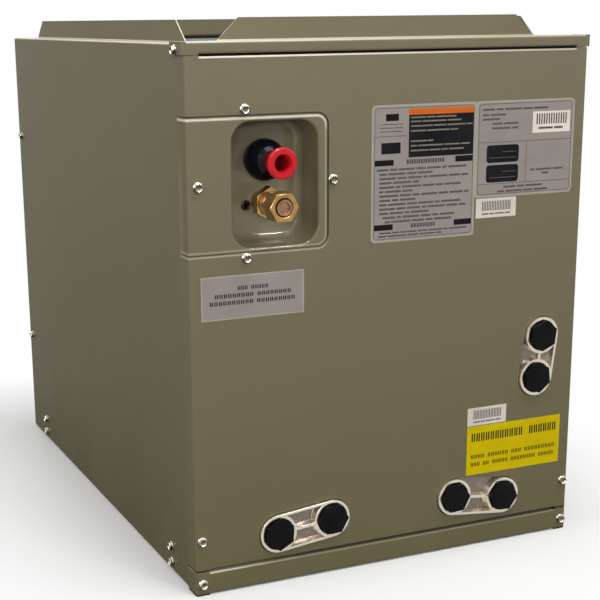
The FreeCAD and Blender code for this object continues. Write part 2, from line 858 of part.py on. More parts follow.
def side_drain_pan():
    """Tray against the right wall; its inner rims follow the coil's slope."""
    w = tray_wall
    floor = box(tray_face - w, tray_face, tray_front, tray_back, tray_bottom, tray_top)
    low, high = tray_face - tray_low_rim, tray_face - tray_high_rim
    bottom = box(low, tray_face, tray_front, tray_back, tray_bottom, tray_bottom + w)
    top = box(high, tray_face, tray_front, tray_back, tray_top - w, tray_top)
    front_wall = box(high, tray_face, tray_front, tray_front + w, tray_bottom, tray_top)
    outline = [(tray_face, tray_bottom), (tray_face, tray_top), (high, tray_top),
               (high, tray_slope_top), (low, tray_bottom)]
    back_wall = prism(outline, on_front(tray_back - w), V(0, w, 0))
    tray = fuse([floor, bottom, top, front_wall, back_wall])
    middle, spacing, tilt = drain_slots()["side"]
    return tray.cut(slot(middle, spacing, tilt, fitting_radius + lap_gap, tray_front - 1, w + 2))


def port_centres(name):
    middle, spacing, tilt = drain_slots()[name]
    run = heading(tilt)
    return [(middle[0] + k * run[0] * spacing / 2, middle[1] + k * run[1] * spacing / 2) for k in (-1, 1)]


def drain_fitting(name):
    """Two port drain fitting: rimmed ports joined by rails and a middle rib.
    The right and side ones are open along one long side."""
    middle, spacing, tilt = drain_slots()[name]
    face = front - fitting_proud
    seat = tray_front + tray_wall if name == "side" else pan_front + pan_wall
    body = slot(middle, spacing, tilt, fitting_radius, face, seat + fitting_reach - face)
    pocket = slot(middle, spacing, tilt, fitting_radius - fitting_wall, face - 1, fitting_pocket + 1)
    into = V(0, 1, 0)
    if name != "left":
        open_side = box(-spacing / 2, spacing / 2, face - 1, face + fitting_pocket, 0, 2 * fitting_radius)
        open_side = open_side.rotate(V(0, 0, 0), V(0, -1, 0), tilt).translate(V(middle[0], 0, middle[1]))
        pocket = pocket.fuse(open_side)
    for x, z in port_centres(name):
        pocket = pocket.cut(rod(V(x, face - 2, z), into, fitting_radius, fitting_pocket + 3))
    rib = box(-spacing, spacing, face - 2, face + fitting_pocket + 1, -fitting_rib / 2, fitting_rib / 2)
    rib = rib.rotate(V(0, 0, 0), V(0, -1, 0), tilt).translate(V(middle[0], 0, middle[1]))
    body = body.cut(pocket.cut(rib))
    for x, z in port_centres(name):
        counterbore = plug_base_radius + plug_fit
        body = body.cut(rod(V(x, face - 1, z), into, counterbore, plug_base + 1))
        body = body.cut(rod(V(x, face - 1, z), into, port_radius, port_depth + 1))
    return body


def drain_plug(name, index):
    """Black screw plug: threaded body, round base and hex head."""
    x, z = port_centres(name)[index]
    face = front - fitting_proud
    into = V(0, 1, 0)
    base = rod(V(x, face, z), into, plug_base_radius, plug_base - lap_gap)
    body = rod(V(x, face, z), into, port_radius - plug_fit, plug_body_length)
    spin = math.radians(plug_turns[name][index])
    across = V(math.sin(spin), 0, math.cos(spin))
    head = hexagon(V(x, face, z), into * -1, across, plug_head_flats, plug_head_proud)
    return fuse([body, base, head])


# Coil slabs

def tube_places():
    """Distance up the slab and off its middle of each hairpin's two legs."""
    places = []
    for i in range(tube_rows_count):
        inner = (tube_pitch * (i + 0.25), -row_spacing / 2)
        outer = (tube_pitch * (i + 0.75), row_spacing / 2)
        places.append((inner, outer))
    return places


def leg_direction(side):
    """Direction from a hairpin's inner leg to its outer leg."""
    (s0, v0), (s1, v1) = tube_places()[0]
    return (slab_point(side, s1, v1, 0) - slab_point(side, s0, v0, 0)).normalize()


def tube_holes(side, y0, y1):
    """Tools for every tube hole of a slab between two depths."""
    holes = []
    across = leg_direction(side)
    for legs in tube_places():
        for s, v in legs:
            ring = ring_points(slab_point(side, s, v, y0), V(0, 1, 0), across,
                               tube_radius + tube_fit, tube_sides)
            holes.append(Part.Face(Part.makePolygon(ring + [ring[0]])).extrude(V(0, y1 - y0, 0)))
    return holes


def fin_pack(side):
    """Finned block of one slab: a row of fins with grooves between them."""
    y0, y1 = slab_front + end_sheet, slab_back - end_sheet
    pitch = (y1 - y0) / (fin_count - 0.5)
    outer, inner = slab_thickness / 2, slab_thickness / 2 - fin_groove
    edge = []
    for i in range(fin_count):
        start = y0 + i * pitch
        edge += [(outer, start), (outer, start + pitch / 2)]
        if i < fin_count - 1:
            edge += [(inner, start + pitch / 2), (inner, start + pitch)]
    outline = edge + [(-v, y) for v, y in reversed(edge)]
    points = [across_slab(side, 0)(v, y) for v, y in outline]
    block = Part.Face(Part.makePolygon(points + [points[0]])).extrude(slab_up(side) * slab_length)
    return block.cut(Part.makeCompound(tube_holes(side, y0 - 1, y1 + 1)))


def end_sheet_plate(side, facing):
    """Channel shaped sheet at one end of a slab; facing is -1 front, 1 back."""
    y = slab_front + end_sheet if facing < 0 else slab_back - end_sheet
    far = y + facing * (end_sheet_flange + end_sheet)
    low = -2 * foot_height
    clear = 4 * end_sheet_flange
    line = [(-sheet_edge, far), (-sheet_edge, y), (sheet_edge, y), (sheet_edge, far)]
    channel = folded(line, end_sheet, edge_bend, across_slab(side, low),
                     slab_up(side) * (slab_length + end_sheet_margin - low), 1 if facing > 0 else -1)
    rest = trough_floor + coil_rest_height
    channel = channel.cut(box(-casing_width, casing_width, y - clear, y + clear, -casing_height, rest))
    x0, x1 = sorted((side * lap_gap, -side * half_width))
    channel = channel.cut(box(x0, x1, y - clear, y + clear, 0, casing_height))
    return channel.cut(Part.makeCompound(tube_holes(side, y - clear, y + clear)))


def hairpins(side):
    """Hairpin tubes of a slab, each through both end sheets and all the fins."""
    start = slab_front - tube_stub
    pieces = []
    for (s0, v0), (s1, v1) in tube_places():
        pieces.append(u_tube(slab_point(side, s0, v0, start), slab_point(side, s1, v1, start),
                             slab_back + hairpin_gap))
    return Part.makeCompound(pieces)


def u_tube(first, last, end):
    """Two parallel legs from first and last joined by a half circle at depth end."""
    across = (last - first).normalize()
    along = V(0, math.copysign(1, end - first.y), 0)
    axis = along.cross(across).normalize()
    radius = (last - first).Length / 2
    middle = V((first.x + last.x) / 2, end, (first.z + last.z) / 2)
    rings = []
    if abs(end - first.y) > tiny:
        rings.append(ring_points(first, along, across, tube_radius, tube_sides))
    for step in range(bend_steps + 1):
        spin = FreeCAD.Rotation(axis, 180.0 * step / bend_steps)
        place = middle + spin.multVec(across * -radius)
        rings.append(ring_points(place, spin.multVec(along), spin.multVec(across), tube_radius, tube_sides))
    if abs(end - first.y) > tiny:
        rings.append(ring_points(last, along * -1, across * -1, tube_radius, tube_sides))
    return faceted(rings)


def return_bends(side):
    """Bends in front that join each hairpin to the next one of its circuit."""
    start = slab_front - tube_stub
    places = tube_places()
    pieces = []
    for i in range(tube_rows_count - 1):
        if i + 1 == first_circuit_count:
            continue
        (s0, v0), (s1, v1) = places[i][1], places[i + 1][0]
        pieces.append(u_tube(slab_point(side, s0, v0, start), slab_point(side, s1, v1, start),
                             start - lap_gap / 3))
    return Part.makeCompound(pieces)


def circuit_inlets(side):
    return [slab_point(side, *tube_places()[i][0], slab_front - tube_stub)
            for i in (0, first_circuit_count)]


def circuit_outlets(side):
    return [slab_point(side, *tube_places()[i][1], slab_front - tube_stub)
            for i in (first_circuit_count - 1, tube_rows_count - 1)]


def delta_plate(facing):
    """Plate that closes the A at one end and stands on the pan's curb."""
    inner = -sheet_edge - lap_gap
    y = slab_front if facing < 0 else slab_back
    low = pan_inner_top + lap_gap
    s_low = (low - foot_height - inner * slab_sine) / slab_cosine
    s_high = (foot_place + inner * slab_cosine) / slab_sine - delta_top_gap
    corners = [slab_point(1, s_low, inner, 0), slab_point(1, s_high, inner, 0)]
    outline = [(-corners[0].x, corners[0].z), (corners[0].x, corners[0].z),
               (corners[1].x, corners[1].z), (-corners[1].x, corners[1].z)]
    plate = prism(outline, on_front(y), V(0, facing * end_sheet, 0))
    parts = [plate]
    s_lip = s_low + end_sheet_margin
    for side in (-1, 1):
        quad = [slab_point(side, s, v, y) for s, v in
                ((s_lip, inner), (s_high, inner), (s_high, inner - end_sheet), (s_lip, inner - end_sheet))]
        lip = Part.Face(Part.makePolygon(quad + [quad[0]]))
        parts.append(lip.extrude(V(0, facing * (end_sheet_flange - end_sheet), 0)))
    return fuse(parts)


def apex_cap():
    """Folded cap over the tops of both slabs."""
    top = slab_length + end_sheet_margin + lap_gap + end_sheet
    outer = sheet_edge + lap_gap + end_sheet
    lip = slab_point(1, top - apex_lip, outer, 0)
    edge = slab_point(1, top, outer, 0)
    valley_v = (top * slab_sine - foot_place) / slab_cosine
    valley = slab_point(1, top, valley_v, 0)
    line = [(-lip.x, lip.z), (-edge.x, edge.z), (0, valley.z), (edge.x, edge.z), (lip.x, lip.z)]
    y0 = slab_front - end_sheet_flange - 1
    y1 = slab_back + end_sheet_flange + 1
    return folded(line, end_sheet, edge_bend, on_front(y0), V(0, y1 - y0, 0), -1)


# Refrigerant lines

def suction_header():
    """Header in front of the A, with its branch out through the recess."""
    outlets = [p.z for p in circuit_outlets(1)] + [suction_height]
    upright = tube([V(0, header_y, min(outlets) - header_end), V(0, header_y, max(outlets) + header_end)],
                   [], header_radius, header_sides)
    end_y = front + stub_end_depth
    branch = tube([V(0, header_y, suction_height), V(connection_x, header_y, suction_height),
                   V(connection_x, end_y, suction_height)], [suction_bend], header_radius, header_sides)
    bore = rod(V(connection_x, end_y - 1, suction_height), V(0, 1, 0), seal_plug_neck + plug_fit,
               seal_plug_grip + 3)
    return fuse([upright, branch]).cut(bore)


def suction_stubs():
    """Tubes from the circuits' ends into the header, one of them into its back."""
    pieces = []
    wall = header_radius * math.cos(math.pi / header_sides) + tube_fit
    seat = V(0, lap_gap / 3, 0)
    left_low, left_high = circuit_outlets(-1)
    for start in [left_low] + circuit_outlets(1):
        corner = V(start.x, header_y, start.z)
        end = V(math.copysign(wall, start.x), header_y, start.z)
        pieces.append(tube([start - seat, corner, end], [stub_bend], tube_radius, tube_sides))
    run_y = left_high.y - stub_run
    pieces.append(tube([left_high - seat, V(left_high.x, run_y, left_high.z),
                        V(0, run_y, left_high.z), V(0, header_y + header_radius + tube_fit, left_high.z)],
                       [stub_bend / 2, stub_bend / 2], tube_radius, tube_sides, line_steps))
    return Part.makeCompound(pieces)


def liquid_line():
    """Tube from the brass body back and down to the distributor."""
    start = V(connection_x, front + recess_depth + liquid_tail + lap_gap / 3, liquid_height)
    corner = V(connection_x, feeder_y, liquid_height)
    end = V(connection_x, feeder_y, distributor_top + lap_gap / 3)
    return tube([start, corner, end], [line_bend], tube_radius, tube_sides)


def distributor():
    """Brass cone that splits the liquid between four feeder tubes."""
    height = distributor_height
    wide = 1.5 * feeder_pitch + feeder_radius + distributor_wall
    profile = [(0, 0), (wide, 0), (wide, distributor_skirt),
               (distributor_neck, distributor_skirt + distributor_cone),
               (distributor_neck, height), (0, height)]
    return turned(profile, V(connection_x, feeder_y, distributor_bottom), V(0, 0, 1), V(1, 0, 0))


def feeder_tubes():
    """One thin tube from the distributor to the start of each circuit."""
    left_low, left_high = circuit_inlets(-1)
    right_low, right_high = circuit_inlets(1)
    start_z = distributor_bottom - lap_gap / 3
    routes = [(3, left_high, feeder_short_drop), (1, right_high, feeder_middle_drop),
              (-1, right_low, feeder_long_drop)]
    pieces = []
    for place, goal, drop in routes:
        x = connection_x + place * feeder_pitch / 2
        level = distributor_bottom - drop
        pieces.append(tube([V(x, feeder_y, start_z), V(x, feeder_y, level), V(goal.x, feeder_y, level),
                            V(goal.x, feeder_y, goal.z), goal - V(0, lap_gap / 3, 0)],
                           [feeder_bend, feeder_side_bend, feeder_side_bend], feeder_radius,
                           feeder_sides, line_steps))
    x = connection_x - 3 * feeder_pitch / 2
    pieces.append(tube([V(x, feeder_y, start_z), V(x, feeder_y, start_z - feeder_slant_drop),
                        V(left_low.x, feeder_y, start_z - 2 * feeder_slant_drop),
                        V(left_low.x, feeder_y, left_low.z),
                        left_low - V(0, lap_gap / 3, 0)],
                       [2 * feeder_bend, 2 * feeder_bend, feeder_bend], feeder_radius, feeder_sides,
                       line_steps))
    return Part.makeCompound(pieces)


# Connections in the recess

def suction_grommet():
    """Ball shaped rubber grommet in the recess floor, round the suction tube."""
    floor_y = front + recess_depth
    tube_r = header_radius + plug_fit
    neck = seal_plug_neck + plug_fit
    stub = floor_y - (front + stub_end_depth) + lap_gap / 3
    lip_r = grommet_hole + grommet_lip
    profile = [(tube_r, -sheet - grommet_lip), (lip_r, -sheet - grommet_lip), (lip_r, -sheet - lap_gap / 3),
               (grommet_hole - plug_fit, -sheet - lap_gap / 3), (grommet_hole - plug_fit, lap_gap / 3),
               (grommet_base, lap_gap / 3)]
    low, high = -math.acos(grommet_base / grommet_ball), math.acos(neck / grommet_ball)
    for step in range(grommet_steps + 1):
        turn = low + (high - low) * step / grommet_steps
        profile.append((grommet_ball * math.cos(turn), grommet_middle + grommet_ball * math.sin(turn)))
    profile += [(neck, stub), (tube_r, stub)]
    return turned(profile, V(connection_x, floor_y, suction_height), V(0, -1, 0), V(1, 0, 0))


def suction_seal_plug():
    """Red plug in the suction stub: flared flange, hollow neck."""
    inner_end = stub_end_depth + seal_plug_grip
    nose = seal_plug_proud + inner_end
    flange_start = nose - seal_plug_flange_length
    r = seal_plug_round
    profile = [(0, 0), (seal_plug_neck, 0), (seal_plug_neck, flange_start - seal_plug_flare),
               (seal_plug_flange - r, flange_start), (seal_plug_flange, flange_start + r),
               (seal_plug_flange, nose - r), (seal_plug_flange - r, nose),
               (seal_plug_bore + r, nose), (seal_plug_bore, nose - 2 * r),
               (seal_plug_bore, nose - seal_plug_bore_depth), (0, nose - seal_plug_bore_depth)]
    return turned(profile, V(connection_x, front + inner_end, suction_height), V(0, -1, 0), V(1, 0, 0))


def liquid_body():
    """Brass body: tail through the floor, collar, hex, shoulder and a spigot for the nut."""
    out = V(0, -1, 0)
    floor_y = front + recess_depth
    axis = V(connection_x, floor_y, liquid_height)
    hex_start = liquid_body_hex_depth
    shoulder_end = recess_depth - liquid_shoulder_depth
    tail = rod(axis - out * liquid_tail, out, liquid_spigot_radius,
               liquid_tail + recess_depth + liquid_spigot_reach)
    collar = rod(axis + out * (lap_gap / 3), out, liquid_collar_radius, hex_start)
    turn = math.radians(liquid_body_turn)
    body = hexagon(axis + out * hex_start, out, V(math.sin(turn), 0, math.cos(turn)),
                   fitting_hex_flats + liquid_body_extra, liquid_body_hex_length)
    shoulder = rod(axis + out * hex_start, out, liquid_shoulder_radius, shoulder_end - hex_start)
    return fuse([tail, collar, body, shoulder])


def liquid_nut():
    """Brass hex nut on the body's spigot, chamfered in front, with a flared mouth."""
    out = V(0, -1, 0)
    start = V(connection_x, front + liquid_nut_length - liquid_nut_proud, liquid_height)
    nut = hexagon(start, out, V(0, 0, 1), fitting_hex_flats, liquid_nut_length)
    corner = fitting_hex_flats / 2 / math.cos(math.pi / 6)
    shoulder = liquid_nut_length - nut_chamfer / 2
    cone = turned([(0, -1), (corner + 1, -1), (corner + 1, shoulder), (corner, shoulder),
                   (corner - nut_chamfer, liquid_nut_length), (0, liquid_nut_length)],
                  start, out, V(1, 0, 0))
    bore = liquid_spigot_radius + plug_fit
    mouth = turned([(0, -1), (bore, -1), (bore, liquid_nut_length - nut_mouth),
                    (bore + nut_mouth, liquid_nut_length), (bore + nut_mouth, liquid_nut_length + 1),
                    (0, liquid_nut_length + 1)], start, out, V(1, 0, 0))
    return nut.common(cone).cut(mouth)


def liquid_cap():
    """Copper coloured disc in the nut's mouth, dished in the middle."""
    start = V(connection_x, front - liquid_spigot_reach - lap_gap / 3, liquid_height)
    length = start.y - (front - liquid_nut_proud)
    profile = [(0, 0), (liquid_cap_radius, 0), (liquid_cap_radius, length), (liquid_cap_dish, length),
               (liquid_cap_dish - liquid_cap_dish_depth / 2, length - liquid_cap_dish_depth),
               (0, length - liquid_cap_dish_depth)]
    return turned(profile, start, V(0, -1, 0), V(1, 0, 0))


def recess_screw_place():
    return V(from_edge(recess_left + recess_screw_left), front + recess_depth,
             liquid_height - recess_screw_drop)


# Labels on the front

def label(x0, width, z0, height, radii=(0, 0, 0, 0)):
    """Thin sticker on the front; x0 is from the left edge, z0 from the bottom."""
    left, right = from_edge(x0), from_edge(x0 + width)
    outline = [(left, z0), (right, z0), (right, z0 + height), (left, z0 + height)]
    wire = rounded_wire(outline, list(radii), on_front(front))
    return Part.Face(wire).extrude(V(0, -label_thickness, 0))


def labels():
    r = label_corner
    middle = casing_width - label_inset - main_label_width
    top = plate_top + main_label_rise
    data_bottom = top - data_height
    bars_left = middle + label_corner / 2
    bars_bottom = data_bottom - bar_label_gap - bar_label_height
    yellow_top = yellow_label_bottom + yellow_label_height
    type_bottom = plate_bottom - type_label_drop - type_label_height
    return {
        "instruction_label": label(middle - main_label_width, main_label_width,
                                   top - instruction_height, instruction_height, (r, 0, 0, r)),
        "data_label": label(middle, main_label_width, data_bottom, data_height, (0, r, r, 0)),
        "upper_barcode_label": label(bars_left, bar_label_width, bars_bottom, bar_label_height),
        "coil_type_label": label(type_label_left, type_label_width, type_bottom, type_label_height),
        "lower_barcode_label": label(middle, bar_label_width, yellow_top + bar_label_gap, bar_label_height),
        "yellow_note_label": label(middle, main_label_width, yellow_label_bottom, yellow_label_height),
    }


def screws():
    into = V(0, 1, 0)
    groups = {
        "front_panel_screws": [screw(p, into) for p in front_screw_places()],
        "access_plate_screws": [screw(p, into) for p in plate_screw_places()],
        "left_side_screws": [screw(p, inward(-1)) for p in side_screw_places(-1)],
        "right_side_screws": [screw(p, inward(1)) for p in side_screw_places(1)],
        "top_rail_screws": [screw(ear_screw_place(side), inward(side)) for side in (-1, 1)],
        "back_panel_screws": [screw(p, inward(math.copysign(1, p.x))) for p in back_screw_places()],
        "recess_screw": [screw(recess_screw_place(), into)],
    }
    return {name: Part.makeCompound(group) for name, group in groups.items()}


def pierced(shape, holes):
    """The shape with every screw hole that reaches it."""
    near = [h for h in holes if h.BoundBox.intersect(shape.BoundBox)]
    return shape.cut(Part.makeCompound(near)) if near else shape


def all_pieces():
    holes = all_screw_holes()
    left_panel = side_panel()
    plate = access_plate().cut(screw_hole(recess_screw_place(), V(0, 1, 0)))
    pieces = {
        "left_side_panel": pierced(left_panel, holes),
        "right_side_panel": pierced(mirrored(left_panel), holes),
        "back_panel": pierced(back_panel(), holes),
        "bottom_front_rail": pierced(bottom_front_rail(), holes),
        "front_panel": pierced(front_panel(), holes),
        "access_plate": pierced(plate, holes),
        "top_front_rail": pierced(top_front_rail(), holes),
        "left_insulation": insulation_sheet(),
        "right_insulation": mirrored(insulation_sheet()),
        "back_insulation": back_insulation(),
        "front_support_rail": pierced(support_rail(front + rail_front_inset), holes),
        "rear_support_rail": pierced(support_rail(back - rail_back_inset), holes),
        "base_drain_pan": base_drain_pan(),
        "side_drain_pan": side_drain_pan(),
        "apex_cap": apex_cap(),
        "front_delta_plate": delta_plate(-1),
        "rear_delta_plate": delta_plate(1),
        "suction_header": suction_header(),
        "suction_stubs": suction_stubs(),
        "liquid_line": liquid_line(),
        "distributor": distributor(),
        "feeder_tubes": feeder_tubes(),
        "suction_grommet": suction_grommet(),
        "suction_seal_plug": suction_seal_plug(),
        "liquid_body": liquid_body(),
        "liquid_nut": liquid_nut(),
        "liquid_cap": liquid_cap(),
    }
    for word, side in (("left", -1), ("right", 1)):
        pieces[word + "_fin_pack"] = fin_pack(side)
        pieces[word + "_front_end_sheet"] = end_sheet_plate(side, -1)
        pieces[word + "_rear_end_sheet"] = end_sheet_plate(side, 1)
        pieces[word + "_hairpins"] = hairpins(side)
        pieces[word + "_return_bends"] = return_bends(side)
    for name in drain_slots():
        pieces[name + "_drain_fitting"] = drain_fitting(name)
        for index, word in enumerate(("first", "second")):
            pieces[name + "_" + word + "_drain_plug"] = drain_plug(name, index)
    pieces.update(labels())
    pieces.update(screws())
    return pieces


def write(pieces):
    os.makedirs("parts", exist_ok=True)
    for name, shape in pieces.items():
        shape.exportStep("parts/" + name + ".step")


write(all_pieces())
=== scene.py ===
"""Looks of a cased evaporator coil: painted casing, finned coil, line connections and drain ports."""

import logging
import math
from dataclasses import dataclass, field
from enum import Enum

import bpy
from mathutils import Matrix, Vector


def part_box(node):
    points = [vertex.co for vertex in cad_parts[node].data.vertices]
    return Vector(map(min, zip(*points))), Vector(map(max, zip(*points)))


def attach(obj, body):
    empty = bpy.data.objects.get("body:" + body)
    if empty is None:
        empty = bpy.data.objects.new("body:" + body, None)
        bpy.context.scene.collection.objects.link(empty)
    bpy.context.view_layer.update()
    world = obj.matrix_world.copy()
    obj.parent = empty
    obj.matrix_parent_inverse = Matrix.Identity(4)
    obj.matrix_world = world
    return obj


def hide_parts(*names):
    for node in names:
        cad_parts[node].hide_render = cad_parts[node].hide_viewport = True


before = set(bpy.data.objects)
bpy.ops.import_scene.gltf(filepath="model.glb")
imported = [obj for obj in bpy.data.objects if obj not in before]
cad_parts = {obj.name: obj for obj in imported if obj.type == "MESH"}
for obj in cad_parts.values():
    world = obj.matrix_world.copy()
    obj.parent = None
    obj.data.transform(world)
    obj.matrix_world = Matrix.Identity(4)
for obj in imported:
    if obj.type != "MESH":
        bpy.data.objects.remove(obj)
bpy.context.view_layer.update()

log = logging.getLogger("evaporator_coil")
MM = 0.001
BODY = "root"
ORIGIN = Vector((0.0, 0.0, 0.0))
UP = Vector((0.0, 0.0, 1.0))
OUT = Vector((0.0, -1.0, 0.0))
RIGHT = Vector((1.0, 0.0, 0.0))

Piece = bpy.types.Object
Tree = bpy.types.NodeTree
Socket = bpy.types.NodeSocket
Colour = tuple[float, float, float, float]
Pair = tuple[float, float]
Triple = tuple[float, float, float]

WHITE: Colour = (1.0, 1.0, 1.0, 1.0)
MERGE_DISTANCE = 0.001 * MM
SAME_PLACE_DIGITS = 6
SAME_WAY = 0.9
ROUND_ANGLE = 40.0
SCREW_ANGLE = 30.0


def srgb(red: int, green: int, blue: int) -> Colour:
    """Turn a 0 to 255 display colour into a linear one.

    Args:
        red: Red, 0 to 255.
        green: Green, 0 to 255.
        blue: Blue, 0 to 255.

    Returns:
        The linear colour with an alpha of 1.
    """
    linear = []
    for value in (red, green, blue):
        share = value / 255.0
        linear.append(share / 12.92 if share <= 0.04045 else ((share + 0.055) / 1.055) ** 2.4)
    return (linear[0], linear[1], linear[2], 1.0)


class Side(Enum):
    """The two slabs of the A, seen from the front."""

    LEFT = -1
    RIGHT = 1


class Through(Enum):
    """What a group of screws goes through, with the axis that its screws lie along."""

    SIDES = 0
    FRONT = 1


# Node groups that several finishes share


def add_node(tree: Tree, kind: str, inputs: dict, **settings: object) -> bpy.types.Node:
    """Place a shader node.

    Args:
        tree: The node tree.
        kind: The node's type, without its first words ShaderNode.
        inputs: A socket or a constant for each input, by name or number.
        settings: The node's own settings.

    Returns:
        The node.
    """
    node = tree.nodes.new("ShaderNode" + kind)
    for label, value in settings.items():
        setattr(node, label, value)
    for label, value in inputs.items():
        if isinstance(value, Socket):
            tree.links.new(value, node.inputs[label])
        else:
            node.inputs[label].default_value = value
    return node


def calc(tree: Tree, operation: str, *values: object) -> Socket:
    """Place a Math node.

    Args:
        tree: The node tree.
        operation: The node's operation.
        values: A socket or a number for each of its inputs.

    Returns:
        The result's socket.
    """
    return add_node(tree, "Math", dict(enumerate(values)), operation=operation).outputs["Value"]


def start_group(name: str, numbers: dict[str, float]) -> tuple[Tree, bpy.types.bpy_prop_collection]:
    """Start a shader node group with a vector input, number inputs and one number output.

    Args:
        name: The group's name.
        numbers: Each number input with its usual value.

    Returns:
        The group and what it is given, by name.
    """
    tree = bpy.data.node_groups.new(name, "ShaderNodeTree")
    tree.interface.new_socket(name="Place", in_out="INPUT", socket_type="NodeSocketVector")
    for label, value in numbers.items():
        socket = tree.interface.new_socket(name=label, in_out="INPUT", socket_type="NodeSocketFloat")
        socket.default_value = value
    tree.interface.new_socket(name="Mask", in_out="OUTPUT", socket_type="NodeSocketFloat")
    return tree, tree.nodes.new("NodeGroupInput").outputs


def end_group(tree: Tree, mask: Socket) -> Tree:
    """Send a mask out of a node group and return the group."""
    tree.links.new(mask, tree.nodes.new("NodeGroupOutput").inputs["Mask"])
    return tree


def mottle_group() -> Tree:
    """Soft cloudy mask from 0 to 1, for slow changes of colour."""
    tree, given = start_group("soft_mottle", {"Scale": 20.0, "Low": 0.35, "High": 0.65})
    noise = add_node(tree, "TexNoise", {"Vector": given["Place"], "Scale": given["Scale"],
                                        "Detail": 5.0, "Roughness": 0.55})
    spread = add_node(tree, "MapRange", {"Value": noise.outputs["Fac"], "From Min": given["Low"],
                                         "From Max": given["High"]})
    return end_group(tree, spread.outputs["Result"])


def grain_group() -> Tree:
    """Fine surface grain with a coarser one mixed in, as a height for bump."""
    tree, given = start_group("fine_grain", {"Scale": 900.0, "Coarse": 0.3})
    coarse_scale = calc(tree, "MULTIPLY", given["Scale"], 0.22)
    fine, coarse = (add_node(tree, "TexNoise", {"Vector": given["Place"], "Scale": scale, "Detail": detail})
                    for scale, detail in ((given["Scale"], 2.0), (coarse_scale, 1.0)))
    blend = add_node(tree, "Mix", {"Factor": given["Coarse"], "A": fine.outputs["Fac"],
                                   "B": coarse.outputs["Fac"]})
    return end_group(tree, blend.outputs["Result"])


def streak_group() -> Tree:
    """Long fine lines, as drawn tube, rolled sheet and turned brass have."""
    tree, given = start_group("drawn_streaks", {"Along X": 40.0, "Along Y": 900.0, "Along Z": 900.0})
    join = add_node(tree, "CombineXYZ", {axis: given["Along " + axis] for axis in "XYZ"})
    squeeze = add_node(tree, "VectorMath", {0: given["Place"], 1: join.outputs["Vector"]},
                       operation="MULTIPLY")
    noise = add_node(tree, "TexNoise", {"Vector": squeeze.outputs["Vector"], "Scale": 1.0, "Detail": 3.0})
    return end_group(tree, noise.outputs["Fac"])


def spangle_group() -> Tree:
    """Crystal patches of a galvanised sheet, each with its own tone from 0 to 1."""
    tree, given = start_group("zinc_spangle", {"Scale": 140.0})
    cells = add_node(tree, "TexVoronoi", {"Vector": given["Place"], "Scale": given["Scale"]}, feature="F1")
    split = add_node(tree, "SeparateColor", {"Color": cells.outputs["Color"]})
    return end_group(tree, split.outputs["Red"])


def rim_group() -> Tree:
    """Thin line along the outline of a rounded rectangle in the front, from 0 beside it to 1 on it."""
    tree, given = start_group("rim_line", {"Centre X": 0.0, "Centre Z": 0.0, "Half X": 0.1, "Half Z": 0.1,
                                           "Corner": 0.01, "Width": 0.001})
    split = add_node(tree, "SeparateXYZ", {"Vector": given["Place"]})
    past = []
    for axis in ("X", "Z"):
        off = calc(tree, "SUBTRACT", split.outputs[axis], given["Centre " + axis])
        straight = calc(tree, "SUBTRACT", given["Half " + axis], given["Corner"])
        past.append(calc(tree, "SUBTRACT", calc(tree, "ABSOLUTE", off), straight))
    squares = [calc(tree, "POWER", calc(tree, "MAXIMUM", value, 0.0), 2.0) for value in past]
    round_part = calc(tree, "SQRT", calc(tree, "ADD", *squares))
    inside = calc(tree, "MINIMUM", calc(tree, "MAXIMUM", *past), 0.0)
    distance = calc(tree, "SUBTRACT", calc(tree, "ADD", round_part, inside), given["Corner"])
    share = calc(tree, "DIVIDE", calc(tree, "ABSOLUTE", distance), given["Width"])
    return end_group(tree, calc(tree, "SMOOTH_MAX", calc(tree, "SUBTRACT", 1.0, share), 0.0, 0.1))


def spaced(values: dict[str, float]) -> dict[str, float]:
    """Turn the underscores in the keys into the spaces that sockets' names have."""
    return {label.replace("_", " "): value for label, value in values.items()}


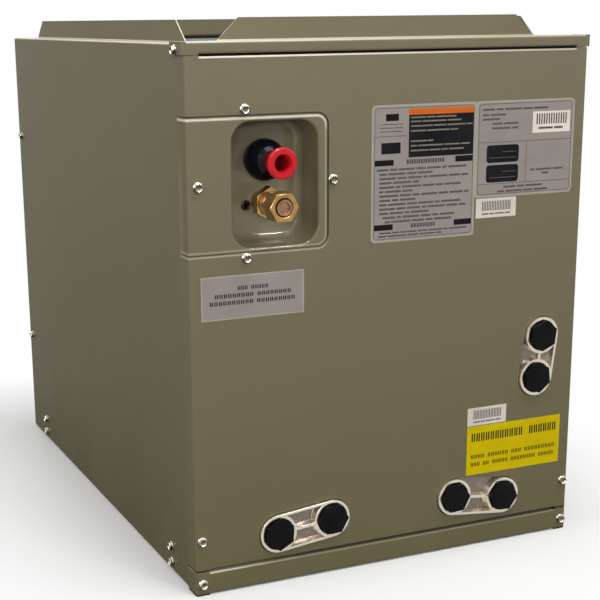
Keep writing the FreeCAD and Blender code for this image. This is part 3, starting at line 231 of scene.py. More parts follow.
class Surface:
    """A material under construction: its Principled shader and short calls for what feeds it."""

    groups: dict[str, Tree] = {}

    def __init__(self, name: str, **sockets: float) -> None:
        """Start a material and set the shader's own constant sockets.

        Args:
            name: The material's name.
            sockets: Values for the shader's sockets, spaces written as underscores.
        """
        self.material = bpy.data.materials.new(name)
        self.material.use_nodes = True
        self.tree = self.material.node_tree
        self.shader = self.tree.nodes["Principled BSDF"]
        for label, value in spaced(sockets).items():
            self.shader.inputs[label].default_value = value
        coordinates = add_node(self.tree, "TexCoord", {})
        self.place, self.facing = coordinates.outputs["Object"], coordinates.outputs["Normal"]

    def pattern(self, name: str, **values: float) -> Socket:
        """Place a shared node group.

        Args:
            name: The group's name.
            values: The group's inputs, spaces written as underscores.

        Returns:
            The group's output socket.
        """
        inputs = {"Place": self.place, **spaced(values)}
        return add_node(self.tree, "Group", inputs, node_tree=self.groups[name]).outputs["Mask"]

    def mix(self, mask: Socket, low: Colour | Socket, high: Colour | Socket) -> Socket:
        """Mix two colours by a mask.

        Args:
            mask: What chooses between the two colours.
            low: The colour where the mask is 0.
            high: The colour where the mask is 1.

        Returns:
            The mixed colour's socket.
        """
        inputs = {"Factor": mask, "A": low, "B": high}
        return add_node(self.tree, "Mix", inputs, data_type="RGBA").outputs["Result"]

    def spread(self, mask: Socket, low: float, high: float) -> Socket:
        """Map a mask from 0 to 1 onto the range from low to high."""
        inputs = {"Value": mask, "To Min": low, "To Max": high}
        return add_node(self.tree, "MapRange", inputs).outputs["Result"]

    def narrow(self, mask: Socket, low: float, high: float) -> Socket:
        """Stretch the part of a mask's range from low to high to the whole of 0 to 1."""
        inputs = {"Value": mask, "From Min": low, "From Max": high}
        return add_node(self.tree, "MapRange", inputs).outputs["Result"]

    def ramp(self, source: Socket, axis: str, low: float, high: float) -> Socket:
        """Mask that goes from 0 to 1 while a part of a vector goes from low to high.

        Args:
            source: The vector.
            axis: X, Y or Z.
            low: The value where the mask is 0.
            high: The value where the mask is 1.

        Returns:
            The mask's socket.
        """
        split = add_node(self.tree, "SeparateXYZ", {"Vector": source})
        return self.narrow(split.outputs[axis], low, high)

    def along(self, axis: str, low: float, high: float) -> Socket:
        """Mask that rises between two places on an axis of the object, in metres."""
        return self.ramp(self.place, axis, low, high)

    def turned(self, axis: str, low: float, high: float) -> Socket:
        """Mask that rises as a face turns towards an axis, between two values of its normal."""
        return self.ramp(self.facing, axis, low, high)

    def both(self, first: Socket, second: Socket) -> Socket:
        """Mask of what two masks share."""
        return calc(self.tree, "MULTIPLY", first, second)

    def feed(self, socket: str, source: Socket) -> None:
        """Link a source into one of the shader's sockets."""
        self.tree.links.new(source, self.shader.inputs[socket])

    def bump(self, height: Socket, strength: float, distance: float) -> None:
        """Give the surface a fine relief.

        Args:
            height: The relief's height from 0 to 1.
            strength: How much of it shows.
            distance: What a height of 1 stands for, in metres.
        """
        inputs = {"Strength": strength, "Distance": distance, "Height": height}
        self.feed("Normal", add_node(self.tree, "Bump", inputs).outputs["Normal"])


# Finishes


@dataclass(frozen=True)
class Finish:
    """Moulded plastic, and the steps of every finish: two tones, a range of gloss and a fine relief."""

    name: str
    low: Colour
    high: Colour
    roughness: Pair = (0.40, 0.60)
    metallic: float = 0.0
    specular: float = 0.5
    cloud: float = 70.0
    grain: float = 1500.0
    coarse: float = 0.3
    relief: float = 0.12
    depth: float = 0.1 * MM

    def surface(self) -> Surface:
        """Start the material."""
        return Surface(self.name, Metallic=self.metallic, Specular_IOR_Level=self.specular)

    def fine_grain(self, skin: Surface) -> Socket:
        """Height of the fine grain."""
        return skin.pattern("fine_grain", Scale=self.grain, Coarse=self.coarse)

    def masks(self, skin: Surface) -> tuple[Socket, Socket, Socket]:
        """Masks of the tone and of the roughness, and the height of the relief."""
        clouds = skin.pattern("soft_mottle", Scale=self.cloud)
        return clouds, clouds, self.fine_grain(skin)

    def colour(self, skin: Surface, tone: Socket) -> Socket:
        """The colour, which a mask takes from the low tone to the high one."""
        return skin.mix(tone, self.low, self.high)

    def build(self) -> bpy.types.Material:
        """Build the material."""
        skin = self.surface()
        tone, gloss, height = self.masks(skin)
        skin.feed("Base Color", self.colour(skin, tone))
        skin.feed("Roughness", skin.spread(gloss, *self.roughness))
        skin.bump(height, self.relief, self.depth)
        return skin.material


@dataclass(frozen=True)
class PaintedRimLine:
    """Thin line along a rim of the access plate or of its opening, painted pale as a highlight or dark as a
    shadow.
    """

    grow: float
    width: float
    fade: Pair
    weights: Pair
    painted_light_tint: Colour
    left: float = -224.0 * MM
    right: float = -64.2 * MM
    bottom: float = 285.2 * MM
    top: float = 390.3 * MM
    corner: float = 9.0 * MM

    def mask(self, skin: Surface) -> Socket:
        """Mask of the line, weighted from the lower to the upper height of the fade."""
        line = skin.pattern("rim_line", Centre_X=(self.left + self.right) / 2,
                            Centre_Z=(self.bottom + self.top) / 2,
                            Half_X=(self.right - self.left) / 2 + self.grow,
                            Half_Z=(self.top - self.bottom) / 2 + self.grow,
                            Corner=self.corner + self.grow, Width=self.width)
        return skin.both(line, skin.spread(skin.along("Z", *self.fade), *self.weights))


@dataclass(frozen=True)
class EnamelFinish(Finish):
    """Olive enamel with light and shade painted on: paler upwards, painted highlights on upper folds and
    rims, painted shade at the foot and along a rim, painted light in the recess.
    """

    name: str = "casing_paint"
    # Painted light: the darker low tone at the foot rises to the paler high tone at the top.
    low: Colour = srgb(103, 97, 70)
    high: Colour = srgb(121, 114, 94)
    roughness: Pair = (0.12, 0.20)
    cloud: float = 14.0
    gloss_cloud: float = 60.0
    grain: float = 420.0
    coarse: float = 0.6
    relief: float = 0.10
    depth: float = 0.2 * MM
    top: float = 0.46
    mist: Colour = srgb(112, 106, 84)
    mist_share: float = 0.25
    # Painted highlight on upward-facing folds near the top edge, fading along X.
    fold_highlight_tint: Colour = srgb(236, 229, 206)
    fold_facing: Pair = (0.45, 0.80)
    fold_start: float = 430.0 * MM
    fold_left: float = -0.16
    fold_right: float = 0.14
    fold_highlight_share: Pair = (0.95, 0.45)
    fold_rise: float = 2.0 * MM
    # Painted shade: a dark band at the foot.
    foot: Pair = (1.7 * MM, 0.9 * MM)
    foot_shade_tint: Colour = srgb(48, 42, 26)
    # Painted light inside the access recess, between these depths and heights.
    recess_light_depths: Pair | None = None
    recess_light_heights: Pair = (378.0 * MM, 345.0 * MM)
    recess_light_tint: Colour = srgb(141, 133, 108)
    sheen: Pair = (0.006, 0.006)
    sheen_facing: Pair = (-0.95, -0.6)
    # Painted highlight and painted shadow lines along rims.
    rim_light_lines: tuple[PaintedRimLine, ...] = ()

    def surface(self) -> Surface:
        """Start the material, with little gloss on faces that point to the left."""
        skin = super().surface()
        skin.feed("Specular IOR Level", skin.spread(skin.turned("X", *self.sheen_facing), *self.sheen))
        return skin

    def masks(self, skin: Surface) -> tuple[Socket, Socket, Socket]:
        """Masks of the mist over the colour and of the roughness, and the height of the relief."""
        return (skin.pattern("soft_mottle", Scale=self.cloud, Low=0.40, High=0.62),
                skin.pattern("soft_mottle", Scale=self.gloss_cloud), self.fine_grain(skin))

    def colour(self, skin: Surface, tone: Socket) -> Socket:
        """The colour, paler from foot to top as painted light, with random mist, painted fold highlights,
        painted foot shade, painted recess light and painted rim lines laid over it in turn.
        """
        # Painted light: paler from the foot to the top.
        colour = skin.mix(skin.along("Z", 0.0, self.top), self.low, self.high)
        colour = skin.mix(skin.spread(tone, 0.0, self.mist_share), colour, self.mist)
        # Painted highlight on the upper folds.
        fold = skin.both(skin.turned("Z", *self.fold_facing),
                         skin.along("Z", self.fold_start, self.fold_start + self.fold_rise))
        share = skin.spread(skin.along("X", self.fold_left, self.fold_right), *self.fold_highlight_share)
        colour = skin.mix(skin.both(fold, share), colour, self.fold_highlight_tint)
        # Painted shade along the foot.
        colour = skin.mix(skin.along("Z", *self.foot), colour, self.foot_shade_tint)
        # Painted light that brightens the recess floor.
        if self.recess_light_depths:
            deep = skin.both(skin.along("Y", *self.recess_light_depths), skin.along("Z", *self.recess_light_heights))
            colour = skin.mix(deep, colour, self.recess_light_tint)
        # Painted highlight and shadow lines along the rims.
        for rim in self.rim_light_lines:
            colour = skin.mix(rim.mask(skin), colour, rim.painted_light_tint)
        return colour


@dataclass(frozen=True)
class ZincSheetFinish(Finish):
    """Galvanised sheet with patches of crystal."""

    name: str = "galvanised_steel"
    low: Colour = srgb(132, 137, 142)
    high: Colour = srgb(172, 176, 179)
    roughness: Pair = (0.34, 0.52)
    metallic: float = 0.9
    cloud: float = 130.0
    grain: float = 1400.0
    coarse: float = 0.2

    def masks(self, skin: Surface) -> tuple[Socket, Socket, Socket]:
        """The patches' mask for tone and roughness, and the height of the grain."""
        patches = skin.pattern("zinc_spangle", Scale=self.cloud)
        return patches, patches, self.fine_grain(skin)


@dataclass(frozen=True)
class DrawnMetalFinish(Finish):
    """Metal with fine lines along an axis and a slow change of tone."""

    metallic: float = 1.0
    cloud: float = 90.0
    relief: float = 0.08
    lines: Triple = (900.0, 40.0, 900.0)

    def masks(self, skin: Surface) -> tuple[Socket, Socket, Socket]:
        """The clouds' mask for the tone, and the lines for roughness and relief."""
        clouds = skin.pattern("soft_mottle", Scale=self.cloud, Low=0.35, High=0.68)
        x, y, z = self.lines
        lines = skin.pattern("drawn_streaks", Along_X=x, Along_Y=y, Along_Z=z)
        return clouds, lines, lines


@dataclass(frozen=True)
class ScrewFinish(Finish):
    """Zinc of the screws, with a painted highlight where it faces up and painted shade where it faces down.
    """

    name: str = "zinc_screw"
    # Painted shade below, painted highlight above.
    low: Colour = srgb(84, 78, 66)
    high: Colour = srgb(232, 226, 212)
    roughness: Pair = (0.10, 0.24)
    metallic: float = 1.0
    cloud: float = 420.0
    grain: float = 900.0
    coarse: float = 0.4
    relief: float = 0.08
    facing: Pair = (-0.05, 0.42)

    def colour(self, skin: Surface, tone: Socket) -> Socket:
        """Painted shade in the low tone on lower flanks, painted highlight in the high one on upper flanks.
        """
        return skin.mix(skin.turned("Z", *self.facing), self.low, self.high)


@dataclass(frozen=True)
class CastFinish(Finish):
    """Cast metal of the drain fittings, with painted highlights on upper and left flanks and painted shade
    in the pockets.
    """

    name: str = "grey_fitting"
    low: Colour = srgb(208, 199, 184)
    # Painted shade in the pockets.
    high: Colour = srgb(118, 109, 101)
    roughness: Pair = (0.14, 0.28)
    metallic: float = 0.9
    cloud: float = 90.0
    grain: float = 700.0
    coarse: float = 0.6
    depth: float = 0.2 * MM
    flank_highlight: Colour = srgb(252, 243, 226)
    facing: Pair = (0.25, 0.65)
    pocket_shade: Pair = (0.6 * MM, 2.6 * MM)
    node: str = "left_drain_fitting"

    def colour(self, skin: Surface, tone: Socket) -> Socket:
        """The low tone on the face, the painted shade of the high one in the pockets, the painted highlight
        over both on the flanks.
        """
        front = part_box(self.node)[0].y
        deep = skin.along("Y", front + self.pocket_shade[0], front + self.pocket_shade[1])
        start, end = self.facing
        # Painted highlight where a flank faces up or to the left.
        lit = calc(skin.tree, "MAXIMUM", skin.turned("Z", start, end), skin.turned("X", -start, -end))
        return skin.mix(lit, skin.mix(deep, self.low, self.high), self.flank_highlight)


@dataclass(frozen=True)
class SealPlugFinish(Finish):
    """Soft red plastic, with painted shade on the neck behind the flange and a lighter painted shade in its
    bore.
    """

    name: str = "red_plastic"
    low: Colour = srgb(202, 24, 34)
    high: Colour = srgb(186, 18, 30)
    roughness: Pair = (0.26, 0.38)
    specular: float = 0.25
    relief: float = 0.05
    # Painted shade of the neck behind the flange, and a lighter painted shade in the bore.
    neck_shade: Colour = srgb(96, 34, 34)
    bore: Colour = srgb(150, 12, 24)
    neck_places: Pair = (-275.2 * MM, -272.8 * MM)
    bore_radius: float = 6.8 * MM
    bore_edge: float = 0.05

    def colour(self, skin: Surface, tone: Socket) -> Socket:
        """The flange's two tones, with the painted shade of the neck and of the bore laid over them."""
        behind = skin.along("Y", *self.neck_places)
        low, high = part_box("suction_seal_plug")
        half = self.bore_radius / 2
        bore = skin.pattern("rim_line", Centre_X=(low.x + high.x) / 2, Centre_Z=(low.z + high.z) / 2,
                            Half_X=half, Half_Z=half, Corner=half, Width=half)
        inner = skin.both(behind, skin.narrow(bore, 0.0, self.bore_edge))
        return skin.mix(inner, skin.mix(behind, super().colour(skin, tone), self.neck_shade), self.bore)


@dataclass(frozen=True)
class FoilFinish(Finish):
    """Foil facing of the insulation, crinkled over its foam."""

    name: str = "foil_insulation"
    low: Colour = srgb(214, 216, 218)
    high: Colour = srgb(176, 180, 184)
    roughness: Pair = (0.24, 0.42)
    metallic: float = 0.85
    cloud: float = 110.0
    relief: float = 0.5
    depth: float = 0.6 * MM

    def masks(self, skin: Surface) -> tuple[Socket, Socket, Socket]:
        """The creases' mask for all three."""
        creases = skin.pattern("soft_mottle", Scale=self.cloud, Low=0.30, High=0.70)
        return creases, creases, creases


@dataclass(frozen=True)
class FilmFinish(Finish):
    """Printed film of a label, slightly uneven in tone."""

    roughness: Pair = (0.34, 0.5)
    specular: float = 0.12
    cloud: float = 40.0
    grain: float = 1800.0
    coarse: float = 0.4
    relief: float = 0.06


RAIL_TOP = 20.0 * MM
# Painted highlight along the plate's rim, painted highlight along the opening's lower rim and painted shadow
# hugging the opening's rim.
PLATE_HIGHLIGHT_LINE = PaintedRimLine(-1.4 * MM, 1.4 * MM, (376.0 * MM, 388.0 * MM), (0.22, 1.0), srgb(228, 222, 198))
OPENING_HIGHLIGHT_LINE = PaintedRimLine(1.9 * MM, 1.2 * MM, (284.0 * MM, 292.0 * MM), (0.65, 0.0), srgb(198, 190, 164))
OPENING_SHADOW_LINE = PaintedRimLine(1.0 * MM, 0.9 * MM, (286.0 * MM, 300.0 * MM), (0.35, 0.95), srgb(52, 46, 32))

FINISHES = (
    # The sides, back and top rail take a darker foot than the front as painted shade.
    EnamelFinish(low=srgb(97, 91, 64)),
    # The plate carries painted light in its recess and a painted highlight along its rim.
    EnamelFinish("plate_paint", high=srgb(113, 106, 82), sheen=(0.006, 0.3), rim_light_lines=(PLATE_HIGHLIGHT_LINE,),
                 recess_light_depths=(-262.0 * MM, -240.0 * MM)),
    # The front panel's painted shade sits just above the bottom rail, and its painted highlight on the top
    # rolled edge.
    EnamelFinish("front_paint", sheen=(0.006, 0.08), fold_facing=(0.10, 0.45),
                 foot=(RAIL_TOP + 2.6 * MM, RAIL_TOP + 1.8 * MM), rim_light_lines=(OPENING_HIGHLIGHT_LINE, OPENING_SHADOW_LINE)),
    # Painted highlight along the top fold of the bottom rail, fading to the right.
    EnamelFinish("rail_paint", sheen=(0.006, 0.08), fold_start=RAIL_TOP - 3.0 * MM, fold_facing=(0.30, 0.70),
                 fold_left=-0.16, fold_right=-0.09, fold_highlight_share=(0.75, 0.16)),
    ZincSheetFinish(),
    FoilFinish(),
    SealPlugFinish(),
    ScrewFinish(),
    CastFinish(),
    DrawnMetalFinish("copper_tube", srgb(206, 134, 98), srgb(160, 92, 62), (0.22, 0.42)),
    DrawnMetalFinish("brass", srgb(184, 148, 90), srgb(148, 110, 58), (0.12, 0.24), 0.75,
                     lines=(500.0, 700.0, 500.0)),
    DrawnMetalFinish("copper_cap", srgb(176, 136, 110), srgb(124, 86, 66), (0.16, 0.34)),
    DrawnMetalFinish("aluminium_fins", srgb(240, 242, 244), srgb(228, 231, 234), (0.26, 0.44), 0.25,
                     lines=(200.0, 900.0, 30.0)),
    DrawnMetalFinish("dark_screw", srgb(70, 60, 58), srgb(36, 32, 34), (0.16, 0.30), cloud=300.0,
                     lines=(700.0, 700.0, 700.0)),
    Finish("black_rubber", srgb(12, 14, 19), srgb(18, 20, 26), (0.12, 0.20), specular=0.12, relief=0.02),
    Finish("black_plug", srgb(8, 9, 8), srgb(14, 15, 14), (0.34, 0.52), specular=0.06),
    Finish("black_moulding", srgb(38, 39, 41), srgb(52, 53, 55), (0.45, 0.62)),
    # Dark seam strip, partly painted shade of the seam.
    Finish("seam_foam_and_shade", srgb(12, 11, 10), srgb(20, 18, 16), (0.8, 0.95), specular=0.1, grain=900.0,
           relief=0.5),
    FilmFinish("grey_label", srgb(148, 140, 135), srgb(140, 132, 127)),
    FilmFinish("white_label", srgb(214, 206, 194), srgb(204, 196, 186)),
    FilmFinish("yellow_label", srgb(204, 182, 4), srgb(194, 172, 4), specular=0.05),
    FilmFinish("black_ink", srgb(22, 22, 24), srgb(30, 29, 31), specular=0.04),
    FilmFinish("orange_ink", srgb(204, 100, 34), srgb(194, 92, 30)),
    FilmFinish("grey_ink", srgb(78, 72, 70), srgb(90, 83, 80)),
    FilmFinish("pale_ink", srgb(166, 160, 143), srgb(158, 152, 136)),
    FilmFinish("dim_ink", srgb(126, 120, 108), srgb(116, 110, 98)),
    FilmFinish("patch_ink", srgb(228, 216, 204), srgb(216, 206, 194)),
    FilmFinish("brown_ink", srgb(66, 54, 8), srgb(80, 66, 10), specular=0.04),
)


class Palette:
    """Every finish, built once and handed out by its name."""

    def __init__(self) -> None:
        """Build the shared node groups and then the materials."""
        for tree in (mottle_group(), grain_group(), streak_group(), spangle_group(), rim_group()):
            Surface.groups[tree.name] = tree
        self.materials = {finish.name: finish.build() for finish in FINISHES}

    def dress(self, piece: Piece, slot: str) -> None:
        """Give a piece one finish."""
        piece.data.materials.clear()
        piece.data.materials.append(self.materials[slot])


# Modelling helpers


def deselect_all() -> None:
    """Leave edit mode and clear the selection."""
    if bpy.context.object and bpy.context.object.mode != "OBJECT":
        bpy.ops.object.mode_set(mode="OBJECT")
    bpy.ops.object.select_all(action="DESELECT")


def make_active(piece: Piece) -> None:
    """Leave edit mode and leave one piece active and selected."""
    deselect_all()
    piece.select_set(True)
    bpy.context.view_layer.objects.active = piece


def edit_all() -> None:
    """Enter edit mode with the active piece's whole mesh selected."""
    bpy.ops.object.mode_set(mode="EDIT")
    bpy.ops.mesh.select_all(action="SELECT")


def leave_edit() -> None:
    """Go back to object mode."""
    bpy.ops.object.mode_set(mode="OBJECT")


def start_piece(name: str) -> Piece:
    """Name the primitive that was just added and settle its place in its mesh.

    Args:
        name: The piece's name.

    Returns:
        The piece, active and alone in the selection.
    """
    piece = bpy.context.object
    piece.name = name
    piece.data.name = name
    bpy.ops.object.transform_apply(location=True, rotation=True, scale=True)
    return piece


def start_ring(name: str, sides: int, radius: float, centre: Vector, axis: Vector) -> Piece:
    """Start a piece from a ring and enter edit mode with the ring selected.

    Args:
        name: The piece's name.
        sides: How many corners the ring has.
        radius: The ring's radius.
        centre: The ring's middle.
        axis: What the ring is square to.

    Returns:
        The piece.
    """
    deselect_all()
    turn = tuple(axis.to_track_quat("Z", "Y").to_euler())
    bpy.ops.mesh.primitive_circle_add(vertices=sides, radius=radius, fill_type="NOTHING",
                                      location=centre, rotation=turn)
    piece = start_piece(name)
    edit_all()
    return piece


def smooth(piece: Piece, degrees: float) -> None:
    """Shade a piece smooth, apart from edges sharper than an angle."""
    make_active(piece)
    bpy.ops.object.shade_smooth_by_angle(angle=math.radians(degrees))


def tidy_mesh(piece: Piece) -> None:
    """Merge doubles, close open ends and turn every face outwards."""
    make_active(piece)
    edit_all()
    bpy.ops.mesh.remove_doubles(threshold=MERGE_DISTANCE)
    bpy.ops.mesh.fill_holes(sides=0)
    bpy.ops.mesh.select_all(action="SELECT")
    bpy.ops.mesh.normals_make_consistent(inside=False)
    leave_edit()


def apply_modifier(piece: Piece, kind: str, **values: object) -> None:
    """Add a modifier with its settings and apply it.

    Args:
        piece: The piece.
        kind: The modifier's type.
        values: The modifier's settings.
    """
    make_active(piece)
    modifier = piece.modifiers.new(kind.lower(), kind)
    for label, value in values.items():
        setattr(modifier, label, value)
    bpy.ops.object.modifier_apply(modifier=modifier.name)


def joined(name: str, pieces: list[Piece]) -> Piece:
    """Join pieces into one object.

    Args:
        name: The joined piece's name.
        pieces: What is joined.

    Returns:
        The joined piece.
    """
    deselect_all()
    for piece in pieces:
        piece.select_set(True)
    bpy.context.view_layer.objects.active = pieces[0]
    if len(pieces) > 1:
        bpy.ops.object.join()
    whole = bpy.context.object
    whole.name = name
    whole.data.name = name
    return whole


def copied(master: Piece, place: Matrix) -> Piece:
    """Copy a piece with a mesh of its own, moved within its mesh.

    Args:
        master: The piece that is repeated.
        place: Where the copy's mesh goes.

    Returns:
        The copy.
    """
    twin = master.copy()
    twin.data = master.data.copy()
    twin.data.transform(place)
    bpy.context.collection.objects.link(twin)
    return twin


def drop(piece: Piece) -> None:
    """Remove a piece that was only copied from."""
    bpy.data.objects.remove(piece, do_unlink=True)


def islands(node: str) -> list[tuple[Vector, Vector]]:
    """Boxes of the separate solids of a node, from its lowest corner up.

    Args:
        node: The node's name.

    Returns:
        Each solid's lowest and highest corner.
    """
    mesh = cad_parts[node].data
    keys = [tuple(round(value, SAME_PLACE_DIGITS) for value in vertex.co) for vertex in mesh.vertices]
    parent = {key: key for key in keys}

    def root(key: tuple) -> tuple:
        """Follow a point to the one that stands for its solid."""
        while parent[key] != key:
            parent[key] = parent[parent[key]]
            key = parent[key]
        return key

    for polygon in mesh.polygons:
        first = root(keys[polygon.vertices[0]])
        for index in polygon.vertices[1:]:
            parent[root(keys[index])] = first
    boxes: dict[tuple, tuple[Vector, Vector]] = {}
    for key in parent:
        low, high = boxes.setdefault(root(key), (Vector(key), Vector(key)))
        for axis in range(3):
            low[axis] = min(low[axis], key[axis])
            high[axis] = max(high[axis], key[axis])
    return sorted(boxes.values(), key=lambda ends: tuple(ends[0]))


def finish_piece(piece: Piece, slot: str, *nodes: str) -> None:
    """Let a piece ride with the part, log its record slot and stand for its nodes.

    Args:
        piece: The finished piece.
        slot: The record's material slot.
        nodes: The CAD nodes that it replaces.
    """
    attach(piece, BODY)
    if nodes:
        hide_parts(*nodes)
    log.info("%s: %d faces, slot %s", piece.name, len(piece.data.polygons), slot)


def finish_tubes(pieces: list[Piece], name: str, palette: Palette, node: str) -> None:
    """Join copper tubes, shade them smooth and let them stand for their node.

    Args:
        pieces: The tubes.
        name: The joined piece's name.
        palette: The finishes.
        node: The CAD node that the piece replaces.
    """
    whole = joined(name, pieces)
    smooth(whole, ROUND_ANGLE)
    palette.dress(whole, "copper_tube")
    finish_piece(whole, "copper_tube", node)


def edit_faces(piece: Piece, outward: Vector) -> None:
    """Enter edit mode with the faces selected that look in a direction.

    Args:
        piece: The active piece.
        outward: The direction.
    """
    bpy.ops.object.mode_set(mode="EDIT")
    bpy.ops.mesh.select_mode(type="FACE")
    bpy.ops.mesh.select_all(action="DESELECT")
    leave_edit()
    for polygon in piece.data.polygons:
        polygon.select = polygon.normal.dot(outward) > SAME_WAY
    bpy.ops.object.mode_set(mode="EDIT")


@dataclass
class Tube:
    """A round tube swept along straight runs and round bends."""

    radius: float
    sides: int = 18
    steps: int = 8
    tiny: float = 1e-5

    def sweep(self, name: str, points: list[Vector], bends: list[float]) -> Piece:
        """Sweep the tube from its first point to its last.

        Args:
            name: The tube's name.
            points: The corners of its middle line, ends included.
            bends: The radius at each inner corner.

        Returns:
            The tube, closed at both ends.
        """
        here = points[0]
        piece = start_ring(name, self.sides, self.radius, here, (points[1] - here).normalized())
        for index, bend in enumerate(bends):
            corner = points[index + 1]
            along = (corner - points[index]).normalized()
            leaving = (points[index + 2] - corner).normalized()
            turn = along.angle(leaving)
            axis = along.cross(leaving).normalized()
            reach = bend * math.tan(turn / 2)
            self.run(here, corner - along * reach)
            centre = corner - along * reach + axis.cross(along) * bend
            steps = max(2, round(self.steps * turn / math.radians(90.0)))
            bpy.ops.mesh.spin(steps=steps, angle=-turn, center=centre, axis=axis)
            here = corner + leaving * reach
        self.run(here, points[-1])
        leave_edit()
        tidy_mesh(piece)
        return piece

    def run(self, start: Vector, end: Vector) -> None:
        """Extrude the selected ring along a straight run, if it has any length."""
        if (end - start).length > self.tiny:
            bpy.ops.mesh.extrude_region_move(TRANSFORM_OT_translate={"value": end - start})


@dataclass
class Turning:
    """A turned solid: rings of growing and shrinking radius along an axis."""

    centre: Vector
    axis: Vector
    sides: int = 48

    def turn(self, name: str, profile: list[Pair]) -> Piece:
        """Turn a solid from its profile.

        Args:
            name: The piece's name.
            profile: Radius and distance along the axis of each ring, in order.

        Returns:
            The turned piece, closed at both ends.
        """
        radius, distance = profile[0]
        here = self.centre + self.axis * distance
        piece = start_ring(name, self.sides, radius, here, self.axis)
        for next_radius, next_distance in profile[1:]:
            there = self.centre + self.axis * next_distance
            bpy.ops.mesh.extrude_region_move(TRANSFORM_OT_translate={"value": there - here})
            share = next_radius / radius
            bpy.ops.transform.resize(value=(share, share, share), center_override=there)
            radius, here = next_radius, there
        leave_edit()
        tidy_mesh(piece)
        return piece


@dataclass
class HexScrew:
    """Hex washer head sheet metal screw, its head towards +Z and its seat at Z 0."""

    flats: float = 6.3 * MM
    head: float = 3.2 * MM
    washer_radius: float = 4.15 * MM
    washer: float = 0.9 * MM
    dish: float = 0.7 * MM
    shank_radius: float = 1.7 * MM
    shank: float = 8.5 * MM
    shank_start: float = 0.2 * MM
    skirt_slope: float = 0.5 * MM
    skirt_rise: float = 0.15 * MM
    rim: float = 0.7 * MM
    dish_slope: float = 0.35 * MM
    edge: float = 0.28 * MM
    upright_share: float = 0.55
    taper_start: float = 0.8
    tip_share: float = 0.25
    skirt_sides: int = 28
    stem_sides: int = 12

    def build(self, name: str) -> Piece:
        """Model the screw once, at the origin.

        Args:
            name: The screw's name.

        Returns:
            The screw.
        """
        skirt = Turning(ORIGIN, UP, self.skirt_sides).turn(name + "_washer", [
            (self.washer_radius, 0.0),
            (self.washer_radius, self.washer * self.upright_share),
            (self.washer_radius - self.skirt_slope, self.washer),
            (self.flats / 2, self.washer + self.skirt_rise)])
        deselect_all()
        corner = self.flats / 2 / math.cos(math.pi / 6)
        depth = self.head - self.washer / 2
        bpy.ops.mesh.primitive_cylinder_add(vertices=6, radius=corner, depth=depth,
                                            location=(0, 0, self.washer / 2 + depth / 2))
        nut = start_piece(name + "_hex")
        edit_faces(nut, UP)
        bpy.ops.mesh.inset(thickness=self.rim)
        bpy.ops.mesh.inset(thickness=self.dish_slope)
        bpy.ops.transform.translate(value=(0, 0, -self.dish))
        leave_edit()
        apply_modifier(nut, "BEVEL", width=self.edge, segments=2, limit_method="ANGLE")
        stem = Turning(ORIGIN, -UP, self.stem_sides).turn(name + "_shank", [
            (self.shank_radius, -self.shank_start),
            (self.shank_radius, self.shank * self.taper_start),
            (self.shank_radius * self.tip_share, self.shank)])
        screw = joined(name, [skirt, nut, stem])
        smooth(screw, SCREW_ANGLE)
        return screw


# Sub-assemblies


@dataclass
class CasingPanels:
    """The painted casing and the pieces inside it that keep their CAD form."""

    slots: dict[str, tuple[str, ...]] = field(default_factory=lambda: {
        "casing_paint": ("left_side_panel", "right_side_panel", "back_panel", "top_front_rail"),
        "rail_paint": ("bottom_front_rail",),
        "front_paint": ("front_panel",),
        "plate_paint": ("access_plate",),
        "foil_insulation": ("left_insulation", "right_insulation", "back_insulation"),
        "galvanised_steel": ("front_support_rail", "rear_support_rail", "apex_cap", "front_delta_plate",
                             "rear_delta_plate", "left_front_end_sheet", "left_rear_end_sheet",
                             "right_front_end_sheet", "right_rear_end_sheet"),
        "black_moulding": ("base_drain_pan", "side_drain_pan"),
        "brass": ("distributor",),
        "copper_cap": ("liquid_cap",),
        "black_rubber": ("suction_grommet",),
        "red_plastic": ("suction_seal_plug",),
        "grey_label": ("instruction_label", "data_label", "coil_type_label"),
        "white_label": ("upper_barcode_label", "lower_barcode_label"),
        "yellow_label": ("yellow_note_label",),
    })

    def dress(self, palette: Palette) -> None:
        """Give every node that is carried over its finish."""
        for slot, nodes in self.slots.items():
            for node in nodes:
                palette.dress(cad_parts[node], slot)
            log.info("%s: %d nodes dressed", slot, len(nodes))


@dataclass
class RoundedFittings:
    """Turned, cast and moulded fittings of the front, with softly rounded edges."""

    rounding: dict[str, float] = field(default_factory=lambda: {
        "brass": 0.45 * MM, "grey_fitting": 0.7 * MM, "black_plug": 0.8 * MM})
    nodes: dict[str, tuple[str, ...]] = field(default_factory=lambda: {
        "brass": ("liquid_body", "liquid_nut"),
        "grey_fitting": ("left_drain_fitting", "right_drain_fitting", "side_drain_fitting"),
        "black_plug": ("left_first_drain_plug", "left_second_drain_plug", "right_first_drain_plug",
                       "right_second_drain_plug", "side_first_drain_plug", "side_second_drain_plug"),
    })
    flat: float = math.radians(1.0)
    sharp: float = math.radians(28.0)
    shading: float = 35.0
    segments: int = 3

    def build(self, palette: Palette) -> None:
        """Copy each fitting, merge its faces and round its edges."""
        for slot, nodes in self.nodes.items():
            for node in nodes:
                piece = copied(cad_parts[node], Matrix.Identity(4))
                piece.name = piece.data.name = node + "_rounded"
                self.merge_faces(piece)
                apply_modifier(piece, "BEVEL", width=self.rounding[slot], segments=self.segments,
                               limit_method="ANGLE", angle_limit=self.sharp, use_clamp_overlap=True)
                smooth(piece, self.shading)
                palette.dress(piece, slot)
                finish_piece(piece, slot, node)

    def merge_faces(self, piece: Piece) -> None:
        """Merge doubles and turn flat runs of triangles into one face each."""
        make_active(piece)
        edit_all()
        bpy.ops.mesh.remove_doubles(threshold=MERGE_DISTANCE)
        bpy.ops.mesh.dissolve_limited(angle_limit=self.flat)
        leave_edit()


